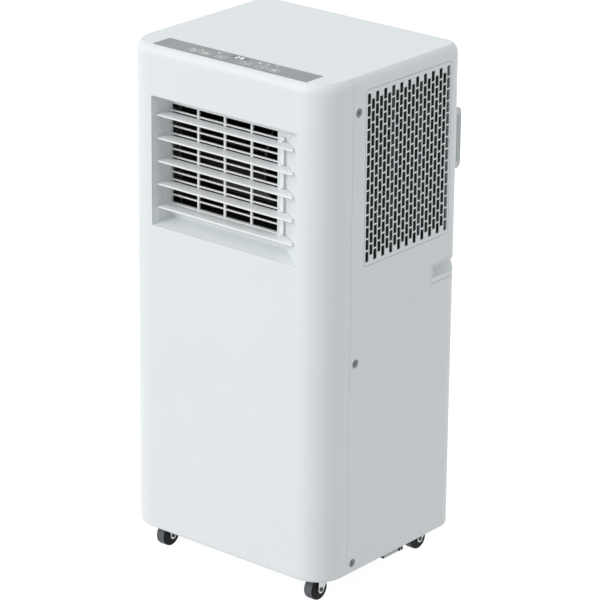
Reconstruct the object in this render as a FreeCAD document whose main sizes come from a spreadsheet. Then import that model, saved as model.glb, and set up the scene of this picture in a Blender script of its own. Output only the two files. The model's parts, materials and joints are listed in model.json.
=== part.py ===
"""Portable air conditioner on four casters, as a parametric FreeCAD document.

Frame: +Z up, floor at z = 0, front towards -Y, +X to the right of someone facing the front.
The origin is on the floor, in the middle of the overall footprint, rear fittings included.
Every sub-part is one labelled object, bound to the sheet "dims", and is written to parts/LABEL.step.
"""
import FreeCAD, Part
import Sketcher
import math
import os
import re
from types import SimpleNamespace

Vector = FreeCAD.Vector
Rotation = FreeCAD.Rotation
Placement = FreeCAD.Placement

DIMENSIONS = [
    # casing
    ("body_width", 325.0, "casing, side to side"),
    ("body_depth", 270.0, "casing, front to back"),
    ("body_height", 648.5, "casing bottom to top"),
    ("floor_gap", 36.5, "floor to casing bottom"),
    ("rear_reach", 24.0, "how far the rear fittings stand behind the casing"),
    ("front_face", -147.0, "y of the casing's front: -(body_depth + rear_reach)/2"),
    ("wall", 2.5, "moulded wall"),
    ("seam_gap", 0.3, "gap at a shell seam"),
    ("front_radius", 40.0, "front vertical corners"),
    ("rear_radius", 24.0, "rear vertical corners"),
    ("bottom_radius", 4.5, "edge round the bottom"),
    ("heel_radius", 28.0, "curve from the back to the bottom"),
    ("crown_radius", 16.0, "curve of the band under the top plate"),
    ("crown_drop", 13.0, "height of that band"),
    ("crease_inset", 6.67, "top plate edge, inside the casing side"),
    ("front_round", 12.0, "front top edge"),
    ("seam_setback", 49.8, "front to the seam between the shells"),
    ("skirt_depth", 10.0, "locating skirt under the top plate"),
    ("tray_inset", 14.0, "base tray edge, inside the casing side"),
    ("tray_drop", 1.2, "base tray below the shells"),
    # control strip
    ("strip_length", 246.0, "control strip, along X"),
    ("strip_width", 31.7, "control strip, front to back"),
    ("strip_setback", 8.7, "front to strip"),
    ("strip_thick", 1.3, "strip with its touch board"),
    ("strip_shift", 1.1, "strip centre, off the middle"),
    ("strip_sink", 0.1, "strip below the top plate"),
    # air outlet
    ("outlet_half", 117.1, "half the outlet opening's width"),
    ("outlet_low", 452.3, "outlet opening, lower edge"),
    ("outlet_top", 621.3, "outlet opening, upper edge"),
    ("crease_depth", 20.0, "depth of the crease in the outlet's side walls"),
    ("throat_depth", 31.0, "depth of the outlet's back wall"),
    ("throat_left", -112.8, "back wall, left end"),
    ("throat_right", 76.0, "back wall, right end"),
    ("throat_rise", 5.0, "rise of the outlet floor towards the back"),
    ("frame_wall", 2.2, "outlet frame wall"),
    ("guard_right", 60.8, "guard opening, right end"),
    ("guard_low", 475.2, "guard opening, lower edge"),
    ("guard_top", 605.3, "guard opening, upper edge"),
    ("guard_thick", 2.2, "guard bars, front to back"),
    # louvres
    ("louvre_pitch", 30.0, "spacing of the louvre blades"),
    ("louvre_top", 594.3, "pivot height of the top blade"),
    ("louvre_depth", 17.5, "front to the pivots"),
    ("louvre_chord", 19.6, "blade, front to back"),
    ("louvre_thick", 2.6, "blade thickness at the front"),
    ("pivot_radius", 1.6, "blade end pins"),
    ("running_gap", 0.06, "radial clearance of a running fit"),
    ("link_x", 70.5, "middle of the link bar"),
    ("link_width", 5.0, "link bar, along X"),
    ("link_lever", 8.1, "blade pivot to link pin"),
    ("link_pin_radius", 1.1, "link pins on the blades"),
    # side grille
    ("grille_front", -73.0, "grille window, front edge"),
    ("grille_back", 95.5, "grille window, rear edge"),
    ("grille_low", 442.0, "grille window, lower edge"),
    ("grille_top", 667.5, "grille window, upper edge"),
    ("grille_radius", 5.0, "grille corners"),
    ("grille_gap", 0.6, "gap round the grille"),
    ("slot_width", 6.3, "brick slots, width"),
    ("slot_height", 13.5, "brick slots, height"),
    ("slot_pitch", 7.79, "column spacing on the side grille"),
    ("rear_pitch", 8.1, "column spacing on the rear grille"),
    ("slot_rise", 15.47, "row spacing"),
    ("field_thick", 0.9, "grille plate between its rims"),
    ("rim_width", 1.0, "thick rim round a grille"),
    # grips
    ("grip_front", 63.0, "side grip, front end"),
    ("grip_low", 382.5, "side grip, lower edge of the insert"),
    ("grip_sill", 390.0, "side grip, floor of the finger gap"),
    ("grip_top", 408.2, "side grip, upper edge"),
    ("grip_depth", 22.0, "side grip, depth of its insert"),
    ("grip_scoop", 14.0, "side grip, depth of its pocket"),
    ("grip_round", 12.0, "side grip, curve from sill to back"),
    ("grip_wall", 3.0, "side grip, front wall of the pocket"),
    # rear fittings
    ("cleat_height", 80.0, "cord cleat, height"),
    ("cleat_low", 511.6, "cord cleat, lower end"),
    ("cleat_outer", 140.0, "cord cleat, outer edge"),
    ("cleat_width", 28.0, "cord cleat, width"),
    ("cleat_neck", 13.0, "cord cleat, width of its stem"),
    ("cleat_flange", 10.0, "cord cleat, thickness of its plate"),
    ("exhaust_radius", 65.0, "exhaust bore"),
    ("exhaust_height", 536.5, "exhaust centre above the floor"),
    ("exhaust_tube", 3.0, "exhaust collar wall"),
    ("exhaust_reach", 20.0, "exhaust collar behind the casing"),
    ("exhaust_root", 4.0, "exhaust collar inside the casing"),
    ("intake_half", 112.0, "half the rear intake window's width"),
    ("intake_low", 96.5, "rear intake window, lower edge"),
    ("intake_height", 222.0, "rear intake window, height"),
    ("gland_x", 126.0, "cord gland, right of the middle"),
    ("gland_z", 80.0, "cord gland, above the floor"),
    ("gland_bore", 4.0, "cord gland bore radius"),
    # screws
    ("screw_setback", 61.0, "front to the side screws"),
    ("screw_recess", 5.75, "radius of a screw's recess"),
    ("screw_head", 4.2, "radius of a screw's head"),
    ("screw_shank", 1.9, "radius of a screw's shank"),
    # casters
    ("caster_x", 124.6, "casters, right and left of the middle"),
    ("caster_front", -105.0, "swivel axis of the front casters"),
    ("caster_rear", 97.4, "swivel axis of the rear casters"),
    ("caster_trail", 7.0, "swivel axis to axle"),
    ("wheel_radius", 15.0, "caster wheel"),
    ("wheel_width", 14.0, "caster wheel, width"),
    ("tread_width", 11.5, "tread band, width"),
    ("tread_depth", 2.5, "tread band, thickness"),
    ("axle_radius", 2.0, "caster axle"),
    ("fork_gap", 0.8, "wheel to fork leg"),
    ("fork_thick", 2.0, "fork leg"),
    ("fork_ear", 5.2, "radius of a fork leg's end"),
    ("stem_radius", 4.0, "caster stem"),
    ("stem_length", 16.0, "caster stem in its socket"),
    # drain
    ("drain_x", 139.5, "drain spout, middle"),
    ("drain_front", -6.0, "drain spout, front end"),
    ("drain_back", 22.0, "drain spout, rear end"),
    ("drain_width", 23.0, "drain spout, width"),
    ("drain_height", 11.0, "drain spout, height"),
    ("drain_bore", 3.8, "drain bore radius"),
    # blowers
    ("blower_y", -20.0, "evaporator blower axis"),
    ("blower_z", 541.5, "evaporator blower axis"),
    ("blower_radius", 70.0, "evaporator blower wheel"),
    ("blower_width", 110.0, "evaporator blower wheel, width"),
    ("scroll_radius", 91.4, "evaporator blower housing"),
    ("scroll_left", -102.0, "evaporator blower housing, left side"),
    ("scroll_right", 62.0, "evaporator blower housing, right side"),
    ("sheet", 2.0, "wall of the inner mouldings"),
    ("shaft_radius", 4.0, "motor shafts"),
    ("motor_radius", 40.0, "fan motors"),
    ("cond_x", -45.0, "condenser blower axis"),
    ("cond_z", 226.5, "condenser blower axis"),
    ("cond_radius", 75.0, "condenser blower wheel"),
    ("cond_width", 45.0, "condenser blower wheel, width"),
    ("cond_front", 13.0, "condenser blower housing, front"),
    ("cond_back", 74.0, "condenser blower housing, rear"),
    ("cond_scroll", 92.0, "condenser blower housing radius"),
    # refrigeration
    ("deck_z", 403.0, "mid deck, underside"),
    ("compressor_x", 40.0, "compressor axis"),
    ("compressor_y", -72.0, "compressor axis"),
    ("compressor_radius", 52.0, "compressor shell"),
    ("compressor_low", 60.0, "compressor, underside of its feet"),
    ("compressor_height", 190.0, "compressor shell"),
    ("accumulator_x", 120.0, "accumulator axis"),
    ("accumulator_y", -87.0, "accumulator axis"),
    ("accumulator_radius", 22.0, "accumulator shell"),
]
SIZES = SimpleNamespace(**{name: value for name, value, _ in DIMENSIONS})
NAMES = {name for name, _, _ in DIMENSIONS}

document = FreeCAD.newDocument("portable_air_conditioner")
parts = {}


# ---------------------------------------------------------------- sheet and helpers

def make_sheet():
    sheet = document.addObject("Spreadsheet::Sheet", "dims")
    for row, (name, value, meaning) in enumerate(DIMENSIONS, start=1):
        sheet.set("A%d" % row, name)
        sheet.set("B%d" % row, str(value))
        sheet.setAlias("B%d" % row, name)
        sheet.set("C%d" % row, meaning)
    document.recompute()


def sized(text):
    """Turn 'body_width/2 - wall' into an expression on the sheet."""
    return re.sub(r"[a-z][a-z0-9_]*", lambda word: "dims." + word.group() if word.group() in NAMES
                  else word.group(), str(text))


def bind(item, **expressions):
    for name, text in expressions.items():
        item.setExpression(name, sized(text))
    return item


def place(item, x="0", y="0", z="0"):
    for letter, text in (("x", x), ("y", y), ("z", z)):
        item.setExpression("Placement.Base." + letter, sized(text))
    return item


def turned(item, axis):
    """Lay a piece built along +Z along the named axis instead."""
    turns = {"X": Rotation(Vector(0, 1, 0), 90), "Y": Rotation(Vector(1, 0, 0), -90), "Z": Rotation()}
    item.Placement = Placement(Vector(), turns[axis])
    return item


def box(name, x, y, z, length, width, height):
    item = document.addObject("Part::Box", name)
    bind(item, Length=length, Width=width, Height=height)
    return place(item, x, y, z)


def span(name, x0, x1, y0, y1, z0, z1):
    """Box between two corners."""
    return box(name, x0, y0, z0, "(%s) - (%s)" % (x1, x0), "(%s) - (%s)" % (y1, y0), "(%s) - (%s)" % (z1, z0))


def rod(name, axis, x, y, z, radius, length):
    item = turned(document.addObject("Part::Cylinder", name), axis)
    bind(item, Radius=radius, Height=length)
    return place(item, x, y, z)


def cut(name, base, *tools):
    item = document.addObject("Part::Cut", name)
    item.Base = base
    item.Tool = tools[0] if len(tools) == 1 else fuse(name + "_tools", *tools)
    return item


def fuse(name, *items):
    item = document.addObject("Part::MultiFuse", name)
    item.Shapes = list(items)
    return item


def common(name, *items):
    item = document.addObject("Part::MultiCommon", name)
    item.Shapes = list(items)
    return item


def keep(label, item):
    """Register a finished sub-part under its own label."""
    item.Label = label
    parts[label] = item
    return item


def feature(name, shape, placement=None):
    item = document.addObject("Part::Feature", name)
    item.Shape = shape
    if placement is not None:
        item.Placement = placement
    return item


def new_body(name):
    return document.addObject("PartDesign::Body", name)


def sketch_on(body, name, role, offset="0"):
    sketch = body.newObject("Sketcher::SketchObject", name)
    plane = [item for item in body.Origin.OriginFeatures if item.Role == role][0]
    sketch.AttachmentSupport = [(plane, "")]
    sketch.MapMode = "FlatFace"
    sketch.setExpression("AttachmentOffset.Base.z", sized(offset))
    return sketch


def draw_polygon(sketch, points):
    """Closed outline whose corners are held by sheet expressions."""
    count = len(points)
    start = [Vector(50 * math.cos(2 * math.pi * i / count), 50 * math.sin(2 * math.pi * i / count), 0)
             for i in range(count)]
    for i in range(count):
        sketch.addGeometry(Part.LineSegment(start[i], start[(i + 1) % count]), False)
    for i in range(count):
        sketch.addConstraint(Sketcher.Constraint("Coincident", i, 2, (i + 1) % count, 1))
    for i, corner in enumerate(points):
        for kind, text, value in zip(("DistanceX", "DistanceY"), corner, (start[i].x, start[i].y)):
            index = sketch.addConstraint(Sketcher.Constraint(kind, -1, 1, i, 1, value))
            sketch.setExpression("Constraints[%d]" % index, sized(text))
    return sketch


def draw_rectangle(sketch, x0, x1, y0, y1):
    return draw_polygon(sketch, [(x0, y0), (x1, y0), (x1, y1), (x0, y1)])


def draw_circle(sketch, x, y, radius):
    sketch.addGeometry(Part.Circle(Vector(1, 1, 0), Vector(0, 0, 1), 5), False)
    for kind, text in (("DistanceX", x), ("DistanceY", y)):
        index = sketch.addConstraint(Sketcher.Constraint(kind, -1, 1, 0, 3, 1.0))
        sketch.setExpression("Constraints[%d]" % index, sized(text))
    index = sketch.addConstraint(Sketcher.Constraint("Radius", 0, 5.0))
    sketch.setExpression("Constraints[%d]" % index, sized(radius))
    return sketch


def pad(body, sketch, length):
    item = body.newObject("PartDesign::Pad", sketch.Name + "_pad")
    item.Profile = sketch
    return bind(item, Length=length)


def revolve(body, sketch):
    """Full turn about the sketch's own vertical axis."""
    item = body.newObject("PartDesign::Revolution", sketch.Name + "_turn")
    item.Profile = sketch
    item.ReferenceAxis = (sketch, ["V_Axis"])
    item.Angle = 360
    return item


def round_edges(body, base, wanted, radius):
    document.recompute()
    names = ["Edge%d" % (i + 1) for i, edge in enumerate(base.Shape.Edges) if wanted(edge.BoundBox)]
    item = body.newObject("PartDesign::Fillet", base.Name + "_round")
    item.Base = (base, names)
    return bind(item, Radius=radius)


def upright(low, high, front=None):
    """Edge test: vertical edges, those in front of or behind y = 0 where front is given."""
    def test(bounds):
        tall = bounds.ZLength > (high - low) / 2 and bounds.XLength < 1e-6 and bounds.YLength < 1e-6
        return tall and (front is None or (bounds.YMax < 0) == front)
    return test


def level(z):
    return lambda bounds: abs(bounds.ZMin - z) < 1e-6 and abs(bounds.ZMax - z) < 1e-6


def rounded_prism(name, inset, low, height):
    """Upright prism that follows the casing's outline, inset from it."""
    body = new_body(name)
    sketch = sketch_on(body, name + "_outline", "XY_Plane", low)
    draw_rectangle(sketch, "-(body_width/2 - (%s))" % inset, "body_width/2 - (%s)" % inset,
                   "front_face + (%s)" % inset, "front_face + body_depth - (%s)" % inset)
    block = pad(body, sketch, height)
    block = round_edges(body, block, upright(0, 2, True), "front_radius - (%s)" % inset)
    round_edges(body, block, upright(0, 2, False), "rear_radius - (%s)" % inset)
    return body


def rounded_wire(x0, x1, y0, y1, radius):
    """Rectangle with rounded corners in the XY plane."""
    corners = [(x1 - radius, y1 - radius, 0), (x0 + radius, y1 - radius, 90),
               (x0 + radius, y0 + radius, 180), (x1 - radius, y0 + radius, 270)]
    arcs = [Part.Arc(Part.Circle(Vector(x, y, 0), Vector(0, 0, 1), radius),
                     math.radians(start), math.radians(start + 90)).toShape() for x, y, start in corners]
    edges = []
    for i, arc in enumerate(arcs):
        edges.append(arc)
        edges.append(Part.makeLine(arc.Vertexes[-1].Point, arcs[(i + 1) % 4].Vertexes[0].Point))
    return Part.Wire(edges)


def pierced_plate(outline, holes, thick):
    """Flat plate with many holes, in the XY plane, thickness along +Z."""
    return Part.makeFace([outline] + holes, "Part::FaceMakerCheese").extrude(Vector(0, 0, thick))


def rimmed_plate(outline, rim_inside, slots):
    """Thin slotted field flush with the outside of a rim as thick as the casing's wall."""
    s = SIZES
    field = pierced_plate(outline, slots, s.field_thick)
    field.translate(Vector(0, 0, s.wall - s.field_thick))
    return field.fuse(pierced_plate(outline, [rim_inside], s.wall)).removeSplitter()


def brick_slots(columns, rows, pitch, radius):
    """Slots in a brick bond, centred on the origin: odd columns have one slot more."""
    s = SIZES
    slots = []
    for column in range(columns):
        x = (column - (columns - 1) / 2) * pitch
        count = rows if column % 2 == 0 else rows - 1
        for row in range(count):
            y = (row - (count - 1) / 2) * s.slot_rise
            slots.append(rounded_wire(x - s.slot_width / 2, x + s.slot_width / 2,
                                      y - s.slot_height / 2, y + s.slot_height / 2, radius))
    return slots


SIDE_FACING = Rotation(Vector(0, 1, 0), Vector(0, 0, 1), Vector(1, 0, 0), "ZXY")
REAR_FACING = Rotation(Vector(-1, 0, 0), Vector(0, 0, 1), Vector(0, 1, 0), "ZXY")


# ---------------------------------------------------------------- casing

def casing_form(name, inset):
    """The casing's solid form, drawn inset from its outer skin."""
    body = new_body(name + "_block")
    sketch = sketch_on(body, name + "_outline", "XY_Plane", "floor_gap + " + inset)
    draw_rectangle(sketch, "-(body_width/2 - %s)" % inset, "body_width/2 - " + inset,
                   "front_face + " + inset, "front_face + body_depth - " + inset)
    block = pad(body, sketch, "body_height + crown_radius - crown_drop - 2*" + inset)
    block = round_edges(body, block, upright(0, 1000, True), "front_radius - " + inset)
    block = round_edges(body, block, upright(0, 1000, False), "rear_radius - " + inset)
    document.recompute()
    ends = block.Shape.BoundBox
    block = round_edges(body, block, level(ends.ZMin), "bottom_radius - " + inset)
    round_edges(body, block, level(ends.ZMax), "crown_radius - " + inset)

    # side view of the casing: it levels the top and rounds the top front and bottom rear edges over
    crown = new_body(name + "_crown")
    sketch = sketch_on(crown, name + "_profile", "YZ_Plane", "-body_width")
    top = "floor_gap + body_height - " + inset
    draw_rectangle(sketch, "front_face + " + inset, "front_face + body_depth - " + inset,
                   "floor_gap + " + inset, top)
    slab = pad(crown, sketch, "2*body_width")
    document.recompute()
    front_y = SIZES.front_face
    nose = lambda b: b.XLength > 100 and b.ZMin > 100 and b.YMax < front_y + 10
    slab = round_edges(crown, slab, nose, "front_round - " + inset)
    heel = lambda b: b.XLength > 100 and b.ZMax < 100 and b.YMin > 0
    round_edges(crown, slab, heel, "heel_radius - " + inset)
    return common(name, body, crown)


def side_screw_heights():
    low = SIZES.floor_gap
    return {"low": low + 14.4, "middle": low + 283.4, "high": low + 605.7}


def screw_seats(outer):
    """Bosses behind the side screws, and the recesses and holes sunk into them."""
    bosses = []
    holes = []
    for side in ("right", "left"):
        for level_name, height in side_screw_heights().items():
            tag = "screw_%s_%s" % (side, level_name)
            start = "body_width/2 - 9" if side == "right" else "-body_width/2"
            y = "front_face + screw_setback"
            boss = rod(tag + "_boss_rod", "X", start, y, str(height), "screw_recess + 2", "9")
            bosses.append(common(tag + "_boss", outer, boss))
            mouth = "body_width/2 - 3" if side == "right" else "-body_width/2 - 5"
            holes.append(rod(tag + "_recess", "X", mouth, y, str(height), "screw_recess", "8"))
            drill = "body_width/2 - 12" if side == "right" else "-body_width/2 - 1"
            holes.append(rod(tag + "_hole", "X", drill, y, str(height), "screw_shank + 0.2", "13"))
    return bosses, holes


def make_screws():
    screws = []
    for side in ("right", "left"):
        for level_name, height in side_screw_heights().items():
            tag = "screw_%s_%s_" % (side, level_name)
            y = "front_face + screw_setback"
            if side == "right":
                head_x, shank_x, slot_x = "body_width/2 - 3", "body_width/2 - 13", "body_width/2 - 1.6"
            else:
                head_x, shank_x, slot_x = "-body_width/2 + 1", "-body_width/2 + 3", "-body_width/2 + 0.6"
            head = rod(tag + "head", "X", head_x, y, str(height), "screw_head", "2")
            shank = rod(tag + "shank", "X", shank_x, y, str(height), "screw_shank", "10")
            bar_a = box(tag + "cross_a", slot_x, y + " - 2.4", "%s - 0.45" % height, "1", "4.8", "0.9")
            bar_b = box(tag + "cross_b", slot_x, y + " - 0.45", "%s - 2.4" % height, "1", "0.9", "4.8")
            screws.append(cut(tag + "screw", fuse(tag + "blank", head, shank), bar_a, bar_b))
    group = document.addObject("Part::Compound", "shell_screws_group")
    group.Links = screws
    keep("shell_screws", group)


def make_casing():
    outer = casing_form("casing_outer", "0")
    inner = casing_form("casing_inner", "wall")
    shell = cut("casing_shell", outer, inner)
    top = "floor_gap + body_height"
    seam = "front_face + seam_setback"
    far = "2*body_depth"

    plate_hole = rounded_prism("plate_hole", "crease_inset - 0.1", top + " - 40", "80")
    tray_hole = rounded_prism("tray_hole", "tray_inset", "floor_gap - 5", "12")
    opening = span("outlet_opening", "-outlet_half", "outlet_half", "front_face - 10", "front_face + 10",
                   "outlet_low", "outlet_top")
    front_zone = span("front_zone", "-body_width", "body_width", "-" + far, seam, "0", "2*body_height")
    front = common("front_half", shell, front_zone)
    keep("front_panel", cut("front_panel_body", front, plate_hole, tray_hole, opening))

    rear_zone = span("rear_zone", "-body_width", "body_width", seam + " + seam_gap", far, "0", "2*body_height")
    bosses, screw_holes = screw_seats(outer)
    lap = lap_strip(inner)
    ledge = grille_ledge()
    rear = common("rear_half", shell, rear_zone)
    rear = fuse("rear_with_bosses", rear, lap, ledge, *bosses)
    back = "front_face + body_depth"
    window_wire = rounded_wire(SIZES.grille_front, SIZES.grille_back, SIZES.grille_low, SIZES.grille_top,
                               SIZES.grille_radius)
    window = feature("grille_window", Part.Face(window_wire).extrude(Vector(0, 0, 12)),
                     Placement(Vector(SIZES.body_width / 2 - SIZES.wall, 0, 0), SIDE_FACING))
    grips = [span("grip_notch_right", "body_width/2 - grip_depth", "body_width", "grip_front", far,
                  "grip_low", "grip_top"),
             span("grip_notch_left", "-body_width", "-body_width/2 + grip_depth", "grip_front", far,
                  "grip_low", "grip_top")]
    exhaust = rod("exhaust_hole", "Y", "0", back + " - 20", "exhaust_height",
                  "exhaust_radius + exhaust_tube + 0.3", "40")
    intake = span("intake_window", "-intake_half", "intake_half", back + " - wall - 5", back + " + 5",
                  "intake_low", "intake_low + intake_height")
    gland = rod("gland_hole", "Y", "gland_x", back + " - 20", "gland_z", "gland_bore + 4.3", "40")
    keep("rear_cover", cut("rear_cover_body", rear, plate_hole, tray_hole, window, exhaust, intake, gland,
                           *(grips + screw_holes)))
    make_top(outer, top)
    make_strip(outer, top)
    make_tray()
    make_grips(outer)
    make_screws()


def lap_strip(inner):
    """Lip of the rear shell that laps behind the front panel at the seam."""
    band = span("lap_band", "-body_width", "body_width", "front_face + seam_setback - 6",
                "front_face + seam_setback + 6", "floor_gap + 30", "floor_gap + body_height - 30")
    core = rounded_prism("lap_core", "wall + 0.3 + wall", "floor_gap", "body_height")
    skin = rounded_prism("lap_skin", "wall + 0.3", "floor_gap", "body_height")
    strip = common("lap_strip", cut("lap_ring", skin, core), band)
    joint = span("lap_joint_band", "-body_width", "body_width", "front_face + seam_setback + seam_gap",
                 "front_face + seam_setback + 6", "floor_gap + 30", "floor_gap + body_height - 30")
    bridge_skin = rounded_prism("bridge_skin", "wall - 0.5", "floor_gap", "body_height")
    bridge = common("lap_bridge", cut("bridge_ring", bridge_skin, core), joint)
    return fuse("lap", strip, bridge)


def grille_ledge():
    """Ring behind the side window that the grille and its filter rest on."""
    s = SIZES
    outside = 4.0
    inside = 2.0
    thick = 3.2
    outer = rounded_wire(s.grille_front - outside, s.grille_back + outside, s.grille_low - outside,
                         s.grille_top + outside, outside + 2)
    inner = rounded_wire(s.grille_front + inside, s.grille_back - inside, s.grille_low + inside,
                         s.grille_top - inside, inside + 1)
    ring = pierced_plate(outer, [inner], thick)
    depth = s.body_width / 2 - s.wall - thick + 0.1
    return feature("grille_ledge", ring, Placement(Vector(depth, 0, 0), SIDE_FACING))


def make_top(outer, top):
    plate_zone = rounded_prism("plate_zone", "crease_inset", top + " - wall", "40")
    plate = common("top_plate", outer, plate_zone)
    ring = cut("top_skirt", rounded_prism("skirt_outside", "crease_inset + 3", top + " - wall - skirt_depth",
                                          "skirt_depth + 1"),
               rounded_prism("skirt_inside", "crease_inset + 5", top + " - wall - skirt_depth - 1",
                             "skirt_depth + 2"))
    cover = fuse("top_blank", plate, ring)
    y0 = "front_face + strip_setback"
    pocket = span("strip_pocket", "strip_shift - strip_length/2 - 0.15", "strip_shift + strip_length/2 + 0.15",
                  y0 + " - 0.15", y0 + " + strip_width + 0.15", top + " - strip_thick - 0.05", top + " + 5")
    keep("top_cover", cut("top_cover_body", cover, pocket))


def make_strip(outer, top):
    y0 = "front_face + strip_setback"
    zone = span("strip_zone", "strip_shift - strip_length/2", "strip_shift + strip_length/2",
                y0, y0 + " + strip_width", top + " - strip_thick", top + " - strip_sink")
    keep("control_strip", common("control_strip_body", outer, zone))


def make_tray():
    bottom = "floor_gap - tray_drop"
    sole = rounded_prism("tray_sole", "tray_inset + seam_gap", bottom, "tray_drop + wall + 1.4")
    lip = rounded_prism("tray_lip", "tray_inset - 0.9", "floor_gap + wall + 0.4", "2")
    heel = span("tray_heel_room", "-body_width", "body_width", "front_face + body_depth - heel_radius",
                "2*body_depth", "floor_gap", "floor_gap + 20")
    flange = cut("tray_flange", lip, heel)
    rim = cut("tray_rim", rounded_prism("tray_rim_out", "tray_inset + 2", "floor_gap + wall", "15"),
              rounded_prism("tray_rim_in", "tray_inset + 4", "floor_gap + wall - 1", "18"))
    sockets = []
    bores = []
    for tag, x, y in caster_places():
        sockets.append(rod(tag + "_socket", "Z", x, y, "floor_gap", "stem_radius + 4", "stem_length + 3"))
        bores.append(rod(tag + "_bore", "Z", x, y, bottom + " - 1", "stem_radius + running_gap",
                         "stem_length + 1.5"))
    pads = [rod("foot_pad_%d" % i, "Z", x, y, "floor_gap + 2", "9", "compressor_low - floor_gap - 14")
            for i, (x, y) in enumerate(compressor_feet())]
    spout_hole = rod("drain_well", "Z", "drain_x", "drain_front + 12", bottom + " - 1", "3", "20")
    keep("base_tray", cut("base_tray_body", fuse("tray_blank", sole, flange, rim, *(sockets + pads)),
                          spout_hole, *bores))


def make_grips(outer):
    """Insert in each side with a scooped pocket for the fingers, open to the back."""
    far = "2*body_depth"
    gap = "0.4"
    for side, sign in (("right", ""), ("left", "-")):
        depths = {"block": "body_width/2 - grip_depth + " + gap, "scoop": "body_width/2 - grip_scoop",
                  "mouth": "body_width/2 - grip_scoop + grip_round"}

        def across(name, start, low, high, front):
            ends = (depths[start], "body_width")
            if side == "left":
                ends = ("-body_width", "-(%s)" % depths[start])
            return span(name + side, ends[0], ends[1], front, far, low, high)

        block = across("grip_block_", "block", "grip_low + " + gap, "grip_top - " + gap, "grip_front + " + gap)
        front = "grip_front + grip_wall"
        room = across("grip_room_", "scoop", "grip_sill", "grip_top - 2.4", front)
        sweep = rod("grip_sweep_" + side, "Y", "%s(%s)" % (sign, depths["mouth"]), front,
                    "grip_sill + grip_round", "grip_round", far)
        upper = across("grip_upper_", "scoop", "grip_sill + grip_round", "grip_top", front)
        outer_part = across("grip_outer_", "mouth", "grip_sill", "grip_top", front)
        pocket = common("grip_pocket_" + side, room, fuse("grip_scoop_" + side, sweep, upper, outer_part))
        insert = common("grip_solid_" + side, outer, block)
        keep("grip_insert_" + side, cut("grip_body_" + side, insert, pocket))


# ---------------------------------------------------------------- air outlet and louvres

def outlet_sections():
    """Depth behind the front, left, right, low and top of the outlet's throat."""
    start = "wall + 0.1"
    run = "(outlet_half - throat_right)/(throat_depth - wall - 0.1)"
    share = "(crease_depth - wall - 0.1)/(throat_depth - wall - 0.1)"
    crease_right = "outlet_half - (crease_depth - wall - 0.1)*" + run
    return [(start, "-outlet_half", "outlet_half", "outlet_low", "outlet_top"),
            ("crease_depth", "-outlet_half + 1.6", crease_right, "outlet_low + throat_rise*" + share,
             "outlet_top - throat_rise*" + share),
            ("throat_depth", "throat_left", "throat_right", "outlet_low + throat_rise",
             "outlet_top - throat_rise")]


def throat_loft(name, grow):
    body = new_body(name)
    sketches = []
    for i, (depth, left, right, low, top) in enumerate(outlet_sections()):
        sketch = sketch_on(body, "%s_section_%d" % (name, i), "XZ_Plane", "-(front_face + (%s))" % depth)
        draw_rectangle(sketch, "%s - (%s)" % (left, grow), "%s + (%s)" % (right, grow),
                       "%s - (%s)" % (low, grow), "%s + (%s)" % (top, grow))
        sketches.append(sketch)
    loft = body.newObject("PartDesign::AdditiveLoft", name + "_loft")
    loft.Profile = sketches[0]
    loft.Sections = sketches[1:]
    loft.Ruled = True
    return body


def louvre_heights():
    return ["louvre_top - %d*louvre_pitch" % i for i in range(5)]


def make_outlet():
    throat = throat_loft("throat", "0")
    skin = throat_loft("throat_skin", "frame_wall")
    depth = "front_face + throat_depth"
    flange = span("outlet_flange", "-outlet_half - 5", "outlet_half + 5", "front_face + wall + 0.1",
                  "front_face + wall + 2.1", "outlet_low - 9", "outlet_top + 9")
    back = span("outlet_back", "throat_left - frame_wall", "throat_right + frame_wall", depth + " - 0.5",
                depth + " + 2", "outlet_low + throat_rise - frame_wall", "outlet_top - throat_rise + frame_wall")
    window = span("guard_window", "throat_left", "guard_right", depth + " - 2", depth + " + 4",
                  "guard_low", "guard_top")
    holes = [rod("pivot_bore_%d" % i, "X", "-outlet_half - 10", "front_face + louvre_depth", height,
                 "pivot_radius + running_gap", "2*outlet_half + 20") for i, height in enumerate(louvre_heights())]
    tidy_throat = span("throat_extension", "-outlet_half", "outlet_half", "front_face", "front_face + wall + 0.2",
                       "outlet_low", "outlet_top")
    keep("outlet_frame", cut("outlet_frame_body", fuse("outlet_blank", skin, flange, back),
                             throat, tidy_throat, window, *holes))
    make_guard()
    for i, height in enumerate(louvre_heights(), start=1):
        make_louvre(i, height)
    make_link()


def make_guard():
    """Grid of bars behind the louvres."""
    s = SIZES
    border = 6.0
    columns = 4
    rows = 13
    post = 3.0
    bar = 1.8
    width = s.guard_right - s.throat_left
    height = s.guard_top - s.guard_low
    cells = []
    for i in range(columns):
        for j in range(rows):
            x0 = s.throat_left + i * width / columns + (post / 2 if i else 0)
            x1 = s.throat_left + (i + 1) * width / columns - (post / 2 if i < columns - 1 else 0)
            z0 = s.guard_low + j * height / rows + (bar / 2 if j else 0)
            z1 = s.guard_low + (j + 1) * height / rows - (bar / 2 if j < rows - 1 else 0)
            cells.append(rounded_wire(-x1, -x0, z0, z1, 0.3))
    outline = rounded_wire(-s.guard_right - border, -s.throat_left + border, s.guard_low - border,
                           s.guard_top + border, 2)
    y = s.front_face + s.throat_depth + 2.1
    keep("outlet_guard", feature("outlet_guard_plate", pierced_plate(outline, cells, s.guard_thick),
                                 Placement(Vector(0, y, 0), REAR_FACING)))


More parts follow.
